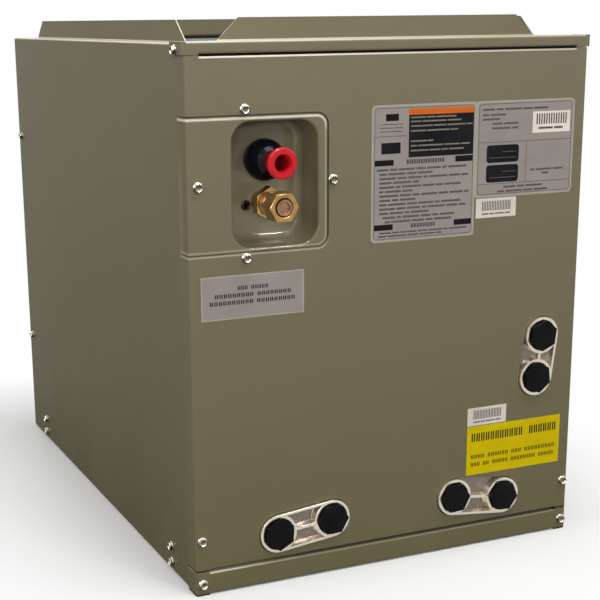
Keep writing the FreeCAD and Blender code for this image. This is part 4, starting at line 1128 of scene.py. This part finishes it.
@dataclass
class ScrewSet:
    """All the hex washer screws, one piece for each group of the model."""

    groups: dict[str, tuple[Through, str]] = field(default_factory=lambda: {
        "front_panel_screws": (Through.FRONT, "zinc_screw"),
        "access_plate_screws": (Through.FRONT, "zinc_screw"),
        "left_side_screws": (Through.SIDES, "zinc_screw"),
        "right_side_screws": (Through.SIDES, "zinc_screw"),
        "top_rail_screws": (Through.SIDES, "zinc_screw"),
        "back_panel_screws": (Through.SIDES, "zinc_screw"),
        "recess_screw": (Through.FRONT, "dark_screw"),
    })
    cad_head: float = HexScrew.head
    spin_step: float = 23.0

    def build(self, palette: Palette) -> None:
        """Copy one screw to every place where the model has one."""
        master = HexScrew().build("screw_master")
        turn = 0
        for node, (face, slot) in self.groups.items():
            copies = []
            for low, high in islands(node):
                middle = (low + high) / 2
                away = OUT if face is Through.FRONT else RIGHT * math.copysign(1.0, middle.x)
                length = (high - low)[face.value]
                seat = middle + away * (length / 2 - self.cad_head)
                turn += 1
                spin = Matrix.Rotation(math.radians(self.spin_step * turn), 4, "Z")
                tilt = away.to_track_quat("Z", "Y").to_matrix().to_4x4()
                copies.append(copied(master, Matrix.Translation(seat) @ tilt @ spin))
            group_piece = joined(node + "_heads", copies)
            palette.dress(group_piece, slot)
            finish_piece(group_piece, slot, node)
        drop(master)


@dataclass
class CoilSlab:
    """One finned slab: thin fins, hairpin tubes and the return bends in front."""

    side: Side
    lean: float = math.radians(17.996)
    foot_height: float = 42.0 * MM
    thickness: float = 44.0 * MM
    apex_gap: float = 3.0 * MM
    tube_pitch: float = 38.1 * MM
    hairpin_count: int = 9
    row_spacing: float = 22.0 * MM
    tube_radius: float = 4.76 * MM
    end_sheet: float = 1.2 * MM
    stub: float = 6.0 * MM
    bend_run: float = 0.2 * MM
    hairpin_gap: float = 3.0 * MM
    socket_sides: int = 18
    socket_profile: tuple[Pair, ...] = ((0.0, -1.5 * MM), (0.6 * MM, -0.7 * MM), (0.6 * MM, 4.2 * MM),
                                        (0.2 * MM, 5.0 * MM), (-0.3 * MM, 5.0 * MM))
    first_circuit: int = 5
    fin_pitch: float = 1.9 * MM
    fin_sheet: float = 0.14 * MM
    fin_wave: float = 0.45 * MM
    fin_folds: int = 12

    def __post_init__(self) -> None:
        """Take the slab's ends from the frame."""
        low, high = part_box(self.word + "_fin_pack")
        self.front, self.back = low.y, high.y
        self.front_end = self.front - self.end_sheet - self.stub
        self.length = self.tube_pitch * self.hairpin_count
        self.foot = (self.length * math.sin(self.lean) + self.thickness / 2 * math.cos(self.lean)
                     + self.apex_gap)

    @property
    def word(self) -> str:
        """The slab's side as it stands in the nodes' names."""
        return self.side.name.lower()

    def point(self, up: float, off: float, depth: float) -> Vector:
        """A point of the slab.

        Args:
            up: Distance up the slab.
            off: Distance outwards from its middle.
            depth: The point's Y.

        Returns:
            The point in the part's frame.
        """
        sine, cosine = math.sin(self.lean), math.cos(self.lean)
        x = self.foot - up * sine + off * cosine
        return Vector((self.side.value * x, depth, self.foot_height + up * cosine + off * sine))

    def legs(self) -> list[tuple[Pair, Pair]]:
        """Place up the slab and off its middle of both legs of each hairpin."""
        half = self.row_spacing / 2
        return [((self.tube_pitch * (i + 0.25), -half), (self.tube_pitch * (i + 0.75), half))
                for i in range(self.hairpin_count)]

    def u_bend(self, name: str, first: Pair, last: Pair, end: float) -> Piece:
        """A tube with two legs that a half circle joins.

        Args:
            name: The tube's name.
            first: The first leg's place up the slab and off its middle.
            last: The last leg's place.
            end: The depth where the half circle begins.

        Returns:
            The tube.
        """
        start = self.front_end
        a, b = self.point(*first, start), self.point(*last, start)
        radius = (b - a).length / 2
        beyond = Vector((0, end + math.copysign(radius, end - start) - start, 0))
        return Tube(self.tube_radius).sweep(name, [a, a + beyond, b + beyond, b], [radius, radius])

    def build_tubes(self, palette: Palette) -> None:
        """Model the hairpins and the return bends."""
        legs = self.legs()
        turn_depth = self.back + self.end_sheet + self.hairpin_gap
        hairpins = [self.u_bend("hairpin", inner, outer, turn_depth) for inner, outer in legs]
        bends = []
        for index in range(self.hairpin_count - 1):
            if index + 1 != self.first_circuit:
                ends = (legs[index][1], legs[index + 1][0])
                bends.append(self.u_bend("bend", *ends, self.front_end - self.bend_run))
                bends += [self.socket(place) for place in ends]
        for kind, pieces in (("hairpins", hairpins), ("return_bends", bends)):
            finish_tubes(pieces, self.word + "_round_" + kind, palette, self.word + "_" + kind)

    def socket(self, place: Pair) -> Piece:
        """Swaged and brazed socket where a bend meets a hairpin's leg."""
        profile = [(self.tube_radius + wall, along) for wall, along in self.socket_profile]
        seat = self.point(*place, self.front_end)
        return Turning(seat, -OUT, self.socket_sides).turn("socket", profile)

    def build_fins(self, palette: Palette) -> None:
        """Model one waved fin and repeat it along the slab."""
        deselect_all()
        step = self.thickness / self.fin_folds
        count = int((self.back - self.front) / self.fin_pitch)
        first = self.front + (self.back - self.front - (count - 1) * self.fin_pitch) / 2
        bpy.ops.mesh.primitive_grid_add(x_subdivisions=self.fin_folds, y_subdivisions=1, size=1.0)
        fin = start_piece(self.word + "_thin_fins")
        for vertex in fin.data.vertices:
            fold = round((vertex.co.x + 0.5) * self.fin_folds)
            wave = self.fin_wave * (0.5 if fold % 2 else -0.5)
            vertex.co = self.point((vertex.co.y + 0.5) * self.length, fold * step - self.thickness / 2,
                                   first + wave)
        apply_modifier(fin, "SOLIDIFY", thickness=self.fin_sheet, offset=0.0)
        apply_modifier(fin, "ARRAY", count=count, use_relative_offset=False, use_constant_offset=True,
                       constant_offset_displace=(0, self.fin_pitch, 0))
        palette.dress(fin, "aluminium_fins")
        finish_piece(fin, "aluminium_fins", self.word + "_fin_pack")

    def build(self, palette: Palette) -> None:
        """Model the whole slab."""
        self.build_fins(palette)
        self.build_tubes(palette)


@dataclass
class RefrigerantLines:
    """Suction header with its branch and stubs, liquid line and feeder tubes."""

    left: CoilSlab
    right: CoilSlab
    header_radius: float = 9.5 * MM
    header_y: float = -206.0 * MM
    feeder_y: float = -214.0 * MM
    feeder_radius: float = 2.4 * MM
    feeder_pitch: float = 5.0 * MM
    feeder_bend: float = 12.0 * MM
    drops: Triple = (17.0 * MM, 33.0 * MM, 108.0 * MM)
    slant: float = 30.0 * MM
    stub_bend: float = 14.0 * MM
    stub_run: float = 13.0 * MM
    suction_bend: float = 22.0 * MM
    line_bend: float = 12.0 * MM
    header_sides: int = 32
    feeder_sides: int = 12
    dome: tuple[Pair, ...] = ((0.35, 0.0), (0.8, 1.2 * MM), (1.0, 4.0 * MM))
    stub_depth: float = 0.9
    later_bends: float = 0.9

    def __post_init__(self) -> None:
        """Take the connections' places from the frame."""
        low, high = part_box("suction_seal_plug")
        self.line_x = (low.x + high.x) / 2
        self.suction_z = (low.z + high.z) / 2
        low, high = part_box("liquid_nut")
        self.liquid_z = (low.z + high.z) / 2

    def outlets(self, slab: CoilSlab) -> list[Vector]:
        """Where a slab's two circuits end."""
        legs = slab.legs()
        return [slab.point(*legs[i][1], slab.front_end)
                for i in (slab.first_circuit - 1, slab.hairpin_count - 1)]

    def inlets(self, slab: CoilSlab) -> list[Vector]:
        """Where a slab's two circuits start."""
        legs = slab.legs()
        return [slab.point(*legs[i][0], slab.front_end) for i in (0, slab.first_circuit)]

    def build_header(self, palette: Palette) -> None:
        """Model the header with domed ends and its branch through the recess."""
        low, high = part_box("suction_header")
        y, r = self.header_y, self.header_radius
        rise = [(r * share, along) for share, along in self.dome]
        height = high.z - low.z
        profile = rise + [(radius, height - distance) for radius, distance in reversed(rise)]
        upright = Turning(Vector((0, y, low.z)), UP, self.header_sides).turn("header", profile)
        branch = Tube(r, self.header_sides).sweep("branch", [
            Vector((-r / 2, y, self.suction_z)), Vector((self.line_x, y, self.suction_z)),
            Vector((self.line_x, low.y, self.suction_z))], [self.suction_bend])
        finish_tubes([upright, branch], "round_suction_header", palette, "suction_header")

    def build_stubs(self, palette: Palette) -> None:
        """Model the stubs from the circuits' ends to the header."""
        left_low, left_high = self.outlets(self.left)
        stubs = []
        reach = self.header_radius * self.stub_depth
        bore = Tube(self.left.tube_radius)
        for start in [left_low] + self.outlets(self.right):
            end = Vector((math.copysign(reach, start.x), self.header_y, start.z))
            stubs.append(bore.sweep("stub", [start, Vector((start.x, self.header_y, start.z)), end],
                                    [self.stub_bend]))
        run_y = left_high.y - self.stub_run
        end = Vector((0, self.header_y + reach, left_high.z))
        stubs.append(bore.sweep("stub", [left_high, Vector((left_high.x, run_y, left_high.z)),
                                         Vector((0, run_y, left_high.z)), end],
                                [self.stub_bend / 2, self.stub_bend / 2]))
        finish_tubes(stubs, "round_suction_stubs", palette, "suction_stubs")

    def build_liquid_line(self, palette: Palette) -> None:
        """Model the tube from the brass body down to the distributor."""
        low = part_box("liquid_line")[0]
        start = Vector((self.line_x, low.y, self.liquid_z))
        corner = Vector((self.line_x, self.feeder_y, self.liquid_z))
        end = Vector((self.line_x, self.feeder_y, low.z))
        tube = Tube(self.left.tube_radius).sweep("liquid_tube", [start, corner, end], [self.line_bend])
        finish_tubes([tube], "round_liquid_line", palette, "liquid_line")

    def build_feeders(self, palette: Palette) -> None:
        """Model the thin tubes from the distributor to the circuits' starts."""
        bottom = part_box("distributor")[0].z
        y, bend = self.feeder_y, self.feeder_bend
        left_low, left_high = self.inlets(self.left)
        right_low, right_high = self.inlets(self.right)
        bore = Tube(self.feeder_radius, self.feeder_sides)
        bends = [bend, bend * self.later_bends, bend * self.later_bends]
        feeders = []
        for place, goal, fall in zip((3, 1, -1), (left_high, right_high, right_low), self.drops):
            x, level = self.line_x + place * self.feeder_pitch / 2, bottom - fall
            feeders.append(bore.sweep("feeder", [
                Vector((x, y, bottom)), Vector((x, y, level)), Vector((goal.x, y, level)),
                Vector((goal.x, y, goal.z)), goal], bends))
        x = self.line_x - 3 * self.feeder_pitch / 2
        feeders.append(bore.sweep("feeder", [
            Vector((x, y, bottom)), Vector((x, y, bottom - self.slant)),
            Vector((left_low.x, y, bottom - 2 * self.slant)),
            Vector((left_low.x, y, left_low.z)), left_low], [2 * bend, 2 * bend, bend]))
        finish_tubes(feeders, "round_feeder_tubes", palette, "feeder_tubes")

    def build(self, palette: Palette) -> None:
        """Model every line."""
        self.build_header(palette)
        self.build_stubs(palette)
        self.build_liquid_line(palette)
        self.build_feeders(palette)


WORD_LENGTHS = (5, 3, 7, 4, 6, 2, 8)
WORD_GAP = 0.8
LETTER_STROKES = (0.06, 0.5)
STROKE_WIDTH = 0.27
BAR_WIDTH = 0.55
PLATE_CORNER_STEP = 0.15


def row_of(count: int, start: int) -> tuple[int, ...]:
    """Lengths of the words of a row, taken in turn from one list."""
    return tuple(WORD_LENGTHS[(start + i) % len(WORD_LENGTHS)] for i in range(max(1, count)))


@dataclass(frozen=True)
class Ink:
    """A field of print, or a row of words as bars, in shares of the label from its upper left corner.

    Its rounding is a radius in metres, and its layer says how many inks lie below it.
    """

    left: float
    right: float
    top: float
    bottom: float
    ink: str = "grey_ink"
    words: tuple[int, ...] = ()
    letters: bool = False
    layer: int = 0
    rounding: float = 0.0

    def bars(self, shape: float) -> list[Pair]:
        """Left and right ends of the bars, in shares of the label.

        Args:
            shape: The label's height over its width.

        Returns:
            The ends of each bar.
        """
        if not self.words:
            return [(self.left, self.right)]
        gap = (self.bottom - self.top) * shape * WORD_GAP
        unit = (self.right - self.left - gap * (len(self.words) - 1)) / sum(self.words)
        ends, here = [], self.left
        for length in self.words:
            if self.letters:
                for i in range(length):
                    ends += [(here + (i + stroke) * unit, here + (i + stroke + STROKE_WIDTH) * unit)
                             for stroke in LETTER_STROKES]
            else:
                ends.append((here, here + length * unit))
            here += length * unit + gap
        return ends


def rows(starts: list[float], ends: list[float], tops: list[float], tall: float, ink: str,
         words: int, layer: int) -> list[Ink]:
    """Rows of small words, one for each pair of ends.

    Args:
        starts: Where each row starts.
        ends: Where each row ends.
        tops: Each row's middle.
        tall: The height of the bars.
        ink: The ink's finish.
        words: How many words a full row has.
        layer: How many inks lie below.

    Returns:
        The rows.
    """
    return [Ink(start, end, top - tall / 2, top + tall / 2, ink,
                row_of(round(words * (end - start)), index), False, layer)
            for index, (start, end, top) in enumerate(zip(starts, ends, tops))]


def plates(insets: list[float], inks: list[str], shape: float, rounding: float) -> list[Ink]:
    """Stacked plates of film and ink that leave thin lines along the label's edges.

    Args:
        insets: Each plate's distance from the label's edge, as a share of its height.
        inks: Each plate's finish.
        shape: The label's height over its width.
        rounding: The corner radius of the lowest plate.

    Returns:
        The plates, lowest first.
    """
    return [Ink(inset * shape, 1 - inset * shape, inset, 1 - inset, ink, layer=layer,
                rounding=rounding * (1 - layer * PLATE_CORNER_STEP))
            for layer, (inset, ink) in enumerate(zip(insets, inks))]


def code_bars(left: float, right: float, top: float, bottom: float, count: int, layer: int) -> list[Ink]:
    """Upright bars of one width at one pitch."""
    pitch = (right - left) / count
    return [Ink(left + i * pitch, left + (i + BAR_WIDTH) * pitch, top, bottom, "grey_ink", layer=layer)
            for i in range(count)]


@dataclass
class LabelPrint:
    """The plain fields and bars that stand for the print of one label."""

    label: str
    slot: str
    inks: list[Ink]
    film: float = 0.03 * MM
    sunk: float = 0.02 * MM

    def build(self, palette: Palette) -> None:
        """Lay every field of print on the label."""
        low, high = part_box(self.label)
        width, height = high.x - low.x, high.z - low.z
        pieces = []
        for name in sorted({ink.ink for ink in self.inks}):
            first = True
            for ink in (one for one in self.inks if one.ink == name):
                face = low.y - self.film * (1 + ink.layer)
                depth = low.y + self.sunk - face
                middle = high.z - (ink.top + ink.bottom) / 2 * height
                for left, right in ink.bars(height / width):
                    place = Vector((low.x + (left + right) / 2 * width, face, middle))
                    size = ((right - left) * width, 1.0, (ink.bottom - ink.top) * height)
                    self.add_field(name if first else "", place, size, ink.rounding, depth)
                    first = False
            leave_edit()
            piece = bpy.context.object
            tidy_mesh(piece)
            palette.dress(piece, name)
            pieces.append(piece)
        finish_piece(joined(self.label + "_print", pieces), self.slot)

    def add_field(self, name: str, place: Vector, size: Triple, rounding: float, depth: float) -> None:
        """Add one thin field to the mesh in edit mode.

        Args:
            name: The new mesh's ink, or nothing where the mesh is there.
            place: The middle of the field's face.
            size: The field's width, 1 and height.
            rounding: Its corner radius.
            depth: How far it reaches back.
        """
        if name:
            deselect_all()
        bpy.ops.mesh.primitive_plane_add(size=1.0, location=place, rotation=(math.pi / 2, 0, 0))
        if name:
            start_piece(name + "_fields")
            edit_all()
        bpy.ops.transform.resize(value=size, center_override=place)
        if rounding:
            bpy.ops.mesh.bevel(offset=rounding, segments=4, affect="VERTICES")
        bpy.ops.mesh.extrude_region_move(TRANSFORM_OT_translate={"value": (0, depth, 0)})


BIG_LABEL_CORNER = 4.0 * MM
LABEL_SHAPES = {"instruction": 111.5 / 98.5, "data": 80.5 / 98.5, "coil_type": 35.5 / 89.5}
BIG_LABEL_INKS = ["pale_ink", "grey_label", "grey_ink", "grey_label"]


def instruction_inks() -> list[Ink]:
    """Print of the large left label: coloured head, black fields, rows of small words."""
    ends = [0.91, 0.58, 0.93, 0.45, 0.86, 0.39, 0.94, 0.42, 0.86, 0.91, 0.55, 0.80, 0.77]
    starts = [0.05] + [0.075] * 10 + [0.11, 0.13]
    tops = [0.468 + 0.0319 * i for i in range(len(ends))]
    head_ends = [0.80, 0.85, 0.96, 0.82, 0.58, 0.94, 0.88]
    head_tops = [0.097, 0.126, 0.159, 0.194, 0.268, 0.302, 0.337]
    fields = [(0.347, 0.972, 0.034, 0.078, "orange_ink"), (0.347, 0.972, 0.078, 0.385, "black_ink"),
              (0.03, 0.33, 0.224, 0.228, "grey_ink"), (0.13, 0.25, 0.066, 0.116, "black_ink"),
              (0.09, 0.27, 0.272, 0.352, "black_ink"), (0.03, 0.207, 0.396, 0.438, "black_ink"),
              (0.80, 0.972, 0.392, 0.436, "black_ink"), (0.03, 0.207, 0.868, 0.911, "black_ink"),
              (0.80, 0.972, 0.868, 0.911, "black_ink")]
    return (plates([0.001, 0.014, 0.022, 0.026], BIG_LABEL_INKS, LABEL_SHAPES["instruction"],
                   BIG_LABEL_CORNER)
            + [Ink(*field, layer=4) for field in fields]
            + [Ink(0.33, 0.70, 0.400, 0.432, "black_ink", (11,), True, 4),
               Ink(0.38, 0.62, 0.874, 0.904, "black_ink", (8,), True, 4)]
            + rows([0.08] * 3, [0.29] * 3, [0.140, 0.166, 0.192], 0.006, "grey_ink", 1, 4)
            + rows([0.365] * 7, head_ends, head_tops, 0.011, "dim_ink", 7, 5)
            + rows(starts, ends, tops, 0.015, "grey_ink", 8, 4)
            + rows([0.08, 0.07], [0.93, 0.68], [0.932, 0.956], 0.012, "grey_ink", 8, 4))


def data_inks() -> list[Ink]:
    """Print of the large right label: rows of words, a white patch with bars and two black tiles."""
    starts = [0.06, 0.06, 0.06, 0.16, 0.16, 0.56, 0.68, 0.29, 0.23]
    ends = [0.72, 0.29, 0.23, 0.42, 0.42, 0.90, 0.75, 0.69, 0.745]
    tops = [0.090, 0.145, 0.190, 0.237, 0.284, 0.735, 0.775, 0.898, 0.944]
    lines = [(0.03, 0.97, 0.424, 0.430), (0.508, 0.513, 0.430, 0.858), (0.03, 0.97, 0.858, 0.864)]
    tiles = [Ink(0.11, 0.435, top, top + 0.182, "black_ink", layer=4, rounding=2.6 * MM)
             for top in (0.458, 0.664)]
    return (plates([0.001, 0.019, 0.030, 0.036], BIG_LABEL_INKS, LABEL_SHAPES["data"],
                   BIG_LABEL_CORNER)
            + [Ink(0.568, 0.955, 0.128, 0.350, "patch_ink", layer=4)]
            + [Ink(*line, layer=4) for line in lines] + tiles
            + code_bars(0.605, 0.93, 0.150, 0.262, 13, 5)
            + rows([0.63], [0.88], [0.302], 0.022, "grey_ink", 8, 5)
            + rows([0.27, 0.14, 0.27, 0.14], [0.41] * 4, [0.53, 0.59, 0.736, 0.796], 0.008, "grey_ink", 1, 5)
            + rows(starts, ends, tops, 0.020, "grey_ink", 8, 4))


def label_prints() -> list[LabelPrint]:
    """The print of every label."""
    kind = (plates([0.004, 0.032], ["pale_ink", "grey_label"], LABEL_SHAPES["coil_type"], 0.0)
            + [Ink(0.35, 0.65, 0.255, 0.345, "black_ink", (3, 5), True, 2),
               Ink(0.13, 0.875, 0.415, 0.505, "black_ink", (9, 8), True, 2),
               Ink(0.08, 0.915, 0.575, 0.665, "black_ink", (10, 9), True, 2)])
    code = code_bars(0.15, 0.88, 0.15, 0.64, 18, 0) + rows([0.15], [0.86], [0.80], 0.07, "grey_ink", 6, 0)
    note = [Ink(0.045, 0.965, 0.145, 0.315, "black_ink", (11, 6), True),
            Ink(0.045, 0.955, 0.585, 0.665, "brown_ink", (4, 6, 3, 9), True),
            Ink(0.045, 0.945, 0.745, 0.825, "brown_ink", (3, 2, 5, 8, 5), True)]
    return [
        LabelPrint("instruction_label", "grey_label", instruction_inks()),
        LabelPrint("data_label", "grey_label", data_inks()),
        LabelPrint("coil_type_label", "grey_label", kind),
        LabelPrint("upper_barcode_label", "white_label", code),
        LabelPrint("lower_barcode_label", "white_label", code),
        LabelPrint("yellow_note_label", "yellow_label", note),
    ]


@dataclass
class SeamSeal:
    """Dark foam strip in the seam between the front panel and the top rail, whose darkness also stands for
    the shade in the seam.
    """

    setback: float = 3.4 * MM
    depth: float = 2.4 * MM
    fold_step: float = 0.8 * MM
    side_gap: float = 12.0 * MM
    bulge: float = 0.25 * MM

    def build(self, palette: Palette) -> None:
        """Model the strip from the panel's folded top edge to the rail's folded lower edge."""
        low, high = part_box("front_panel")
        bottom, top = high.z - self.fold_step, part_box("top_front_rail")[0].z + self.fold_step
        width = high.x - low.x - 2 * self.side_gap
        middle = Vector((0.0, low.y + self.setback, (bottom + top) / 2))
        deselect_all()
        bpy.ops.mesh.primitive_cube_add(size=1.0, location=middle)
        strip = start_piece("top_seam_seal")
        edit_all()
        bpy.ops.transform.resize(value=(width, self.depth, top - bottom), center_override=middle)
        leave_edit()
        edit_faces(strip, OUT)
        bpy.ops.mesh.inset(thickness=(top - bottom) / 4)
        bpy.ops.transform.translate(value=OUT * self.bulge)
        leave_edit()
        smooth(strip, ROUND_ANGLE)
        # The strip is dark as the seam's shade.
        palette.dress(strip, "seam_foam_and_shade")
        finish_piece(strip, "black_rubber")


# Studio


@dataclass(frozen=True)
class Lamp:
    """A soft rectangular lamp that looks at a point."""

    name: str
    place: Triple
    aim: Triple
    size: Pair
    watts: float
    lights_matt: bool = True

    def build(self) -> None:
        """Place the lamp."""
        data = bpy.data.lights.new(self.name, "AREA")
        data.shape = "RECTANGLE"
        data.size, data.size_y = self.size
        data.energy = self.watts
        lamp = bpy.data.objects.new(self.name, data)
        bpy.context.scene.collection.objects.link(lamp)
        lamp.location = self.place
        direction = Vector(self.aim) - Vector(self.place)
        lamp.rotation_euler = direction.to_track_quat("-Z", "Y").to_euler()
        lamp.visible_diffuse = self.lights_matt


LOW_AIM = (0.0, 0.0, 0.25)
HIGH_AIM = (0.0, 0.0, 0.3)
RECESS_AIM = (-0.109, -0.25, 0.34)
SPARK_PLACES = ((0.69, -1.6, 1.57), (-0.25, -0.72, 2.25), (-1.3, -0.64, 1.8))
SPARK_SIZE = (0.07, 0.07)
SPARK_WATTS = 14.0

LAMPS = (
    Lamp("key", (0.8, -2.7, 1.75), LOW_AIM, (0.6, 0.45), 12.0),
    Lamp("front_fill", (-1.4, -2.4, 0.9), LOW_AIM, (1.2, 1.2), 26.5),
    Lamp("overhead", (0.25, -0.95, 1.75), (0.0, -0.2, 0.3), (1.2, 0.35), 12.0),
    Lamp("left_fill", (-2.6, -0.3, 1.6), HIGH_AIM, (1.4, 1.4), 18.0),
    Lamp("right_fill", (2.6, -0.4, 1.6), HIGH_AIM, (1.6, 1.6), 18.0),
    Lamp("back", (-0.5, 2.6, 2.2), HIGH_AIM, (2.0, 1.4), 26.0),
    *(Lamp(f"spark_{number}", place, RECESS_AIM, SPARK_SIZE, SPARK_WATTS, False)
      for number, place in enumerate(SPARK_PLACES, 1)),
)


@dataclass
class Studio:
    """Camera at the photograph's viewing angle, soft lamps and a pale floor."""

    camera_place: Triple = (-0.5384, -1.2196, 0.4628)
    heading: float = 0.409459
    dip: float = 0.254019
    roll: float = -0.011075
    lens: float = 79.57
    sensor_width: float = 36.0
    shift: Pair = (0.0681, 0.1054)
    floor_size: float = 12.0
    floor_drop: float = 0.2 * MM
    ambient: float = 0.30
    footprint: Triple = (0.19, 0.27, 0.0)
    shadow_reach: Pair = (0.0, 0.22)
    floor_grey: Colour = (0.42, 0.42, 0.42, 1.0)
    floor_grey_shade: Colour = (0.38, 0.38, 0.38, 1.0)
    floor_seen: Colour = (0.97, 0.97, 0.97, 1.0)

    def add_camera(self) -> None:
        """Place the camera that sees the part as the photograph does."""
        ahead = Vector((math.sin(self.heading) * math.cos(self.dip),
                        math.cos(self.heading) * math.cos(self.dip), -math.sin(self.dip)))
        right = Vector((math.cos(self.heading), -math.sin(self.heading), 0))
        above = right.cross(ahead)
        turned_right = right * math.cos(self.roll) + above * math.sin(self.roll)
        turned_up = above * math.cos(self.roll) - right * math.sin(self.roll)
        data = bpy.data.cameras.new("camera")
        data.lens = self.lens
        data.sensor_width = self.sensor_width
        data.shift_x, data.shift_y = self.shift
        camera = bpy.data.objects.new("camera", data)
        bpy.context.scene.collection.objects.link(camera)
        turn = Matrix((turned_right, turned_up, -ahead)).transposed().to_4x4()
        camera.matrix_world = Matrix.Translation(Vector(self.camera_place)) @ turn
        bpy.context.scene.camera = camera

    def seen_directly(self, tree: Tree) -> Socket:
        """Mask of the rays that show the surroundings: camera, glossy and transmission rays."""
        path = add_node(tree, "LightPath", {}).outputs
        mask = calc(tree, "MAXIMUM", path["Is Camera Ray"], path["Is Glossy Ray"])
        return calc(tree, "MAXIMUM", mask, path["Is Transmission Ray"])

    def add_world(self) -> None:
        """Even white surroundings that are dimmer as a light than as a background."""
        world = bpy.data.worlds.new("studio")
        world.use_nodes = True
        tree = world.node_tree
        back = tree.nodes["Background"]
        back.inputs["Color"].default_value = WHITE
        inputs = {"Value": self.seen_directly(tree), "To Min": self.ambient, "To Max": 1.0}
        strength = add_node(tree, "MapRange", inputs).outputs["Result"]
        tree.links.new(strength, back.inputs["Strength"])
        bpy.context.scene.world = world

    def distance_away(self, skin: Surface) -> Socket:
        """Distance of a place on the floor from the casing's footprint."""
        source = skin.place
        steps = (("ABSOLUTE", {}), ("SUBTRACT", {1: self.footprint}), ("MAXIMUM", {1: (0.0, 0.0, 0.0)}))
        for operation, values in steps:
            node = add_node(skin.tree, "VectorMath", {0: source, **values}, operation=operation)
            source = node.outputs["Vector"]
        return add_node(skin.tree, "VectorMath", {0: source}, operation="LENGTH").outputs["Value"]

    def add_floor(self) -> None:
        """A plain pale floor that keeps the shadow by the casing and fades to white away from it."""
        deselect_all()
        bpy.ops.mesh.primitive_plane_add(size=self.floor_size, location=(0, 0, -self.floor_drop))
        floor = start_piece("floor")
        skin = Surface("floor_paint", Roughness=0.9, Specular_IOR_Level=0.1)
        tree = skin.tree
        seen = self.seen_directly(tree)
        grey = skin.mix(skin.pattern("soft_mottle", Scale=3.0), self.floor_grey, self.floor_grey_shade)
        skin.feed("Base Color", skin.mix(seen, grey, self.floor_seen))
        away = skin.both(skin.narrow(self.distance_away(skin), *self.shadow_reach), seen)
        white = add_node(tree, "Emission", {"Color": WHITE})
        blend = add_node(tree, "MixShader", {"Fac": away, 1: skin.shader.outputs["BSDF"],
                                             2: white.outputs["Emission"]})
        tree.links.new(blend.outputs["Shader"], tree.nodes["Material Output"].inputs["Surface"])
        floor.data.materials.append(skin.material)

    def build(self) -> None:
        """Set up the camera, the lamps, the surroundings and the floor."""
        self.add_camera()
        for lamp in LAMPS:
            lamp.build()
        self.add_world()
        self.add_floor()
        bpy.context.scene.view_settings.view_transform = "Standard"


def main() -> None:
    """Build the looks in order."""
    logging.basicConfig(level=logging.INFO, format="%(message)s")
    palette = Palette()
    CasingPanels().dress(palette)
    slabs = [CoilSlab(side) for side in Side]
    for slab in slabs:
        slab.build(palette)
    RefrigerantLines(*slabs).build(palette)
    RoundedFittings().build(palette)
    ScrewSet().build(palette)
    SeamSeal().build(palette)
    for print_of_label in label_prints():
        print_of_label.build(palette)
    Studio().build()


if __name__ == "__main__":
    main()
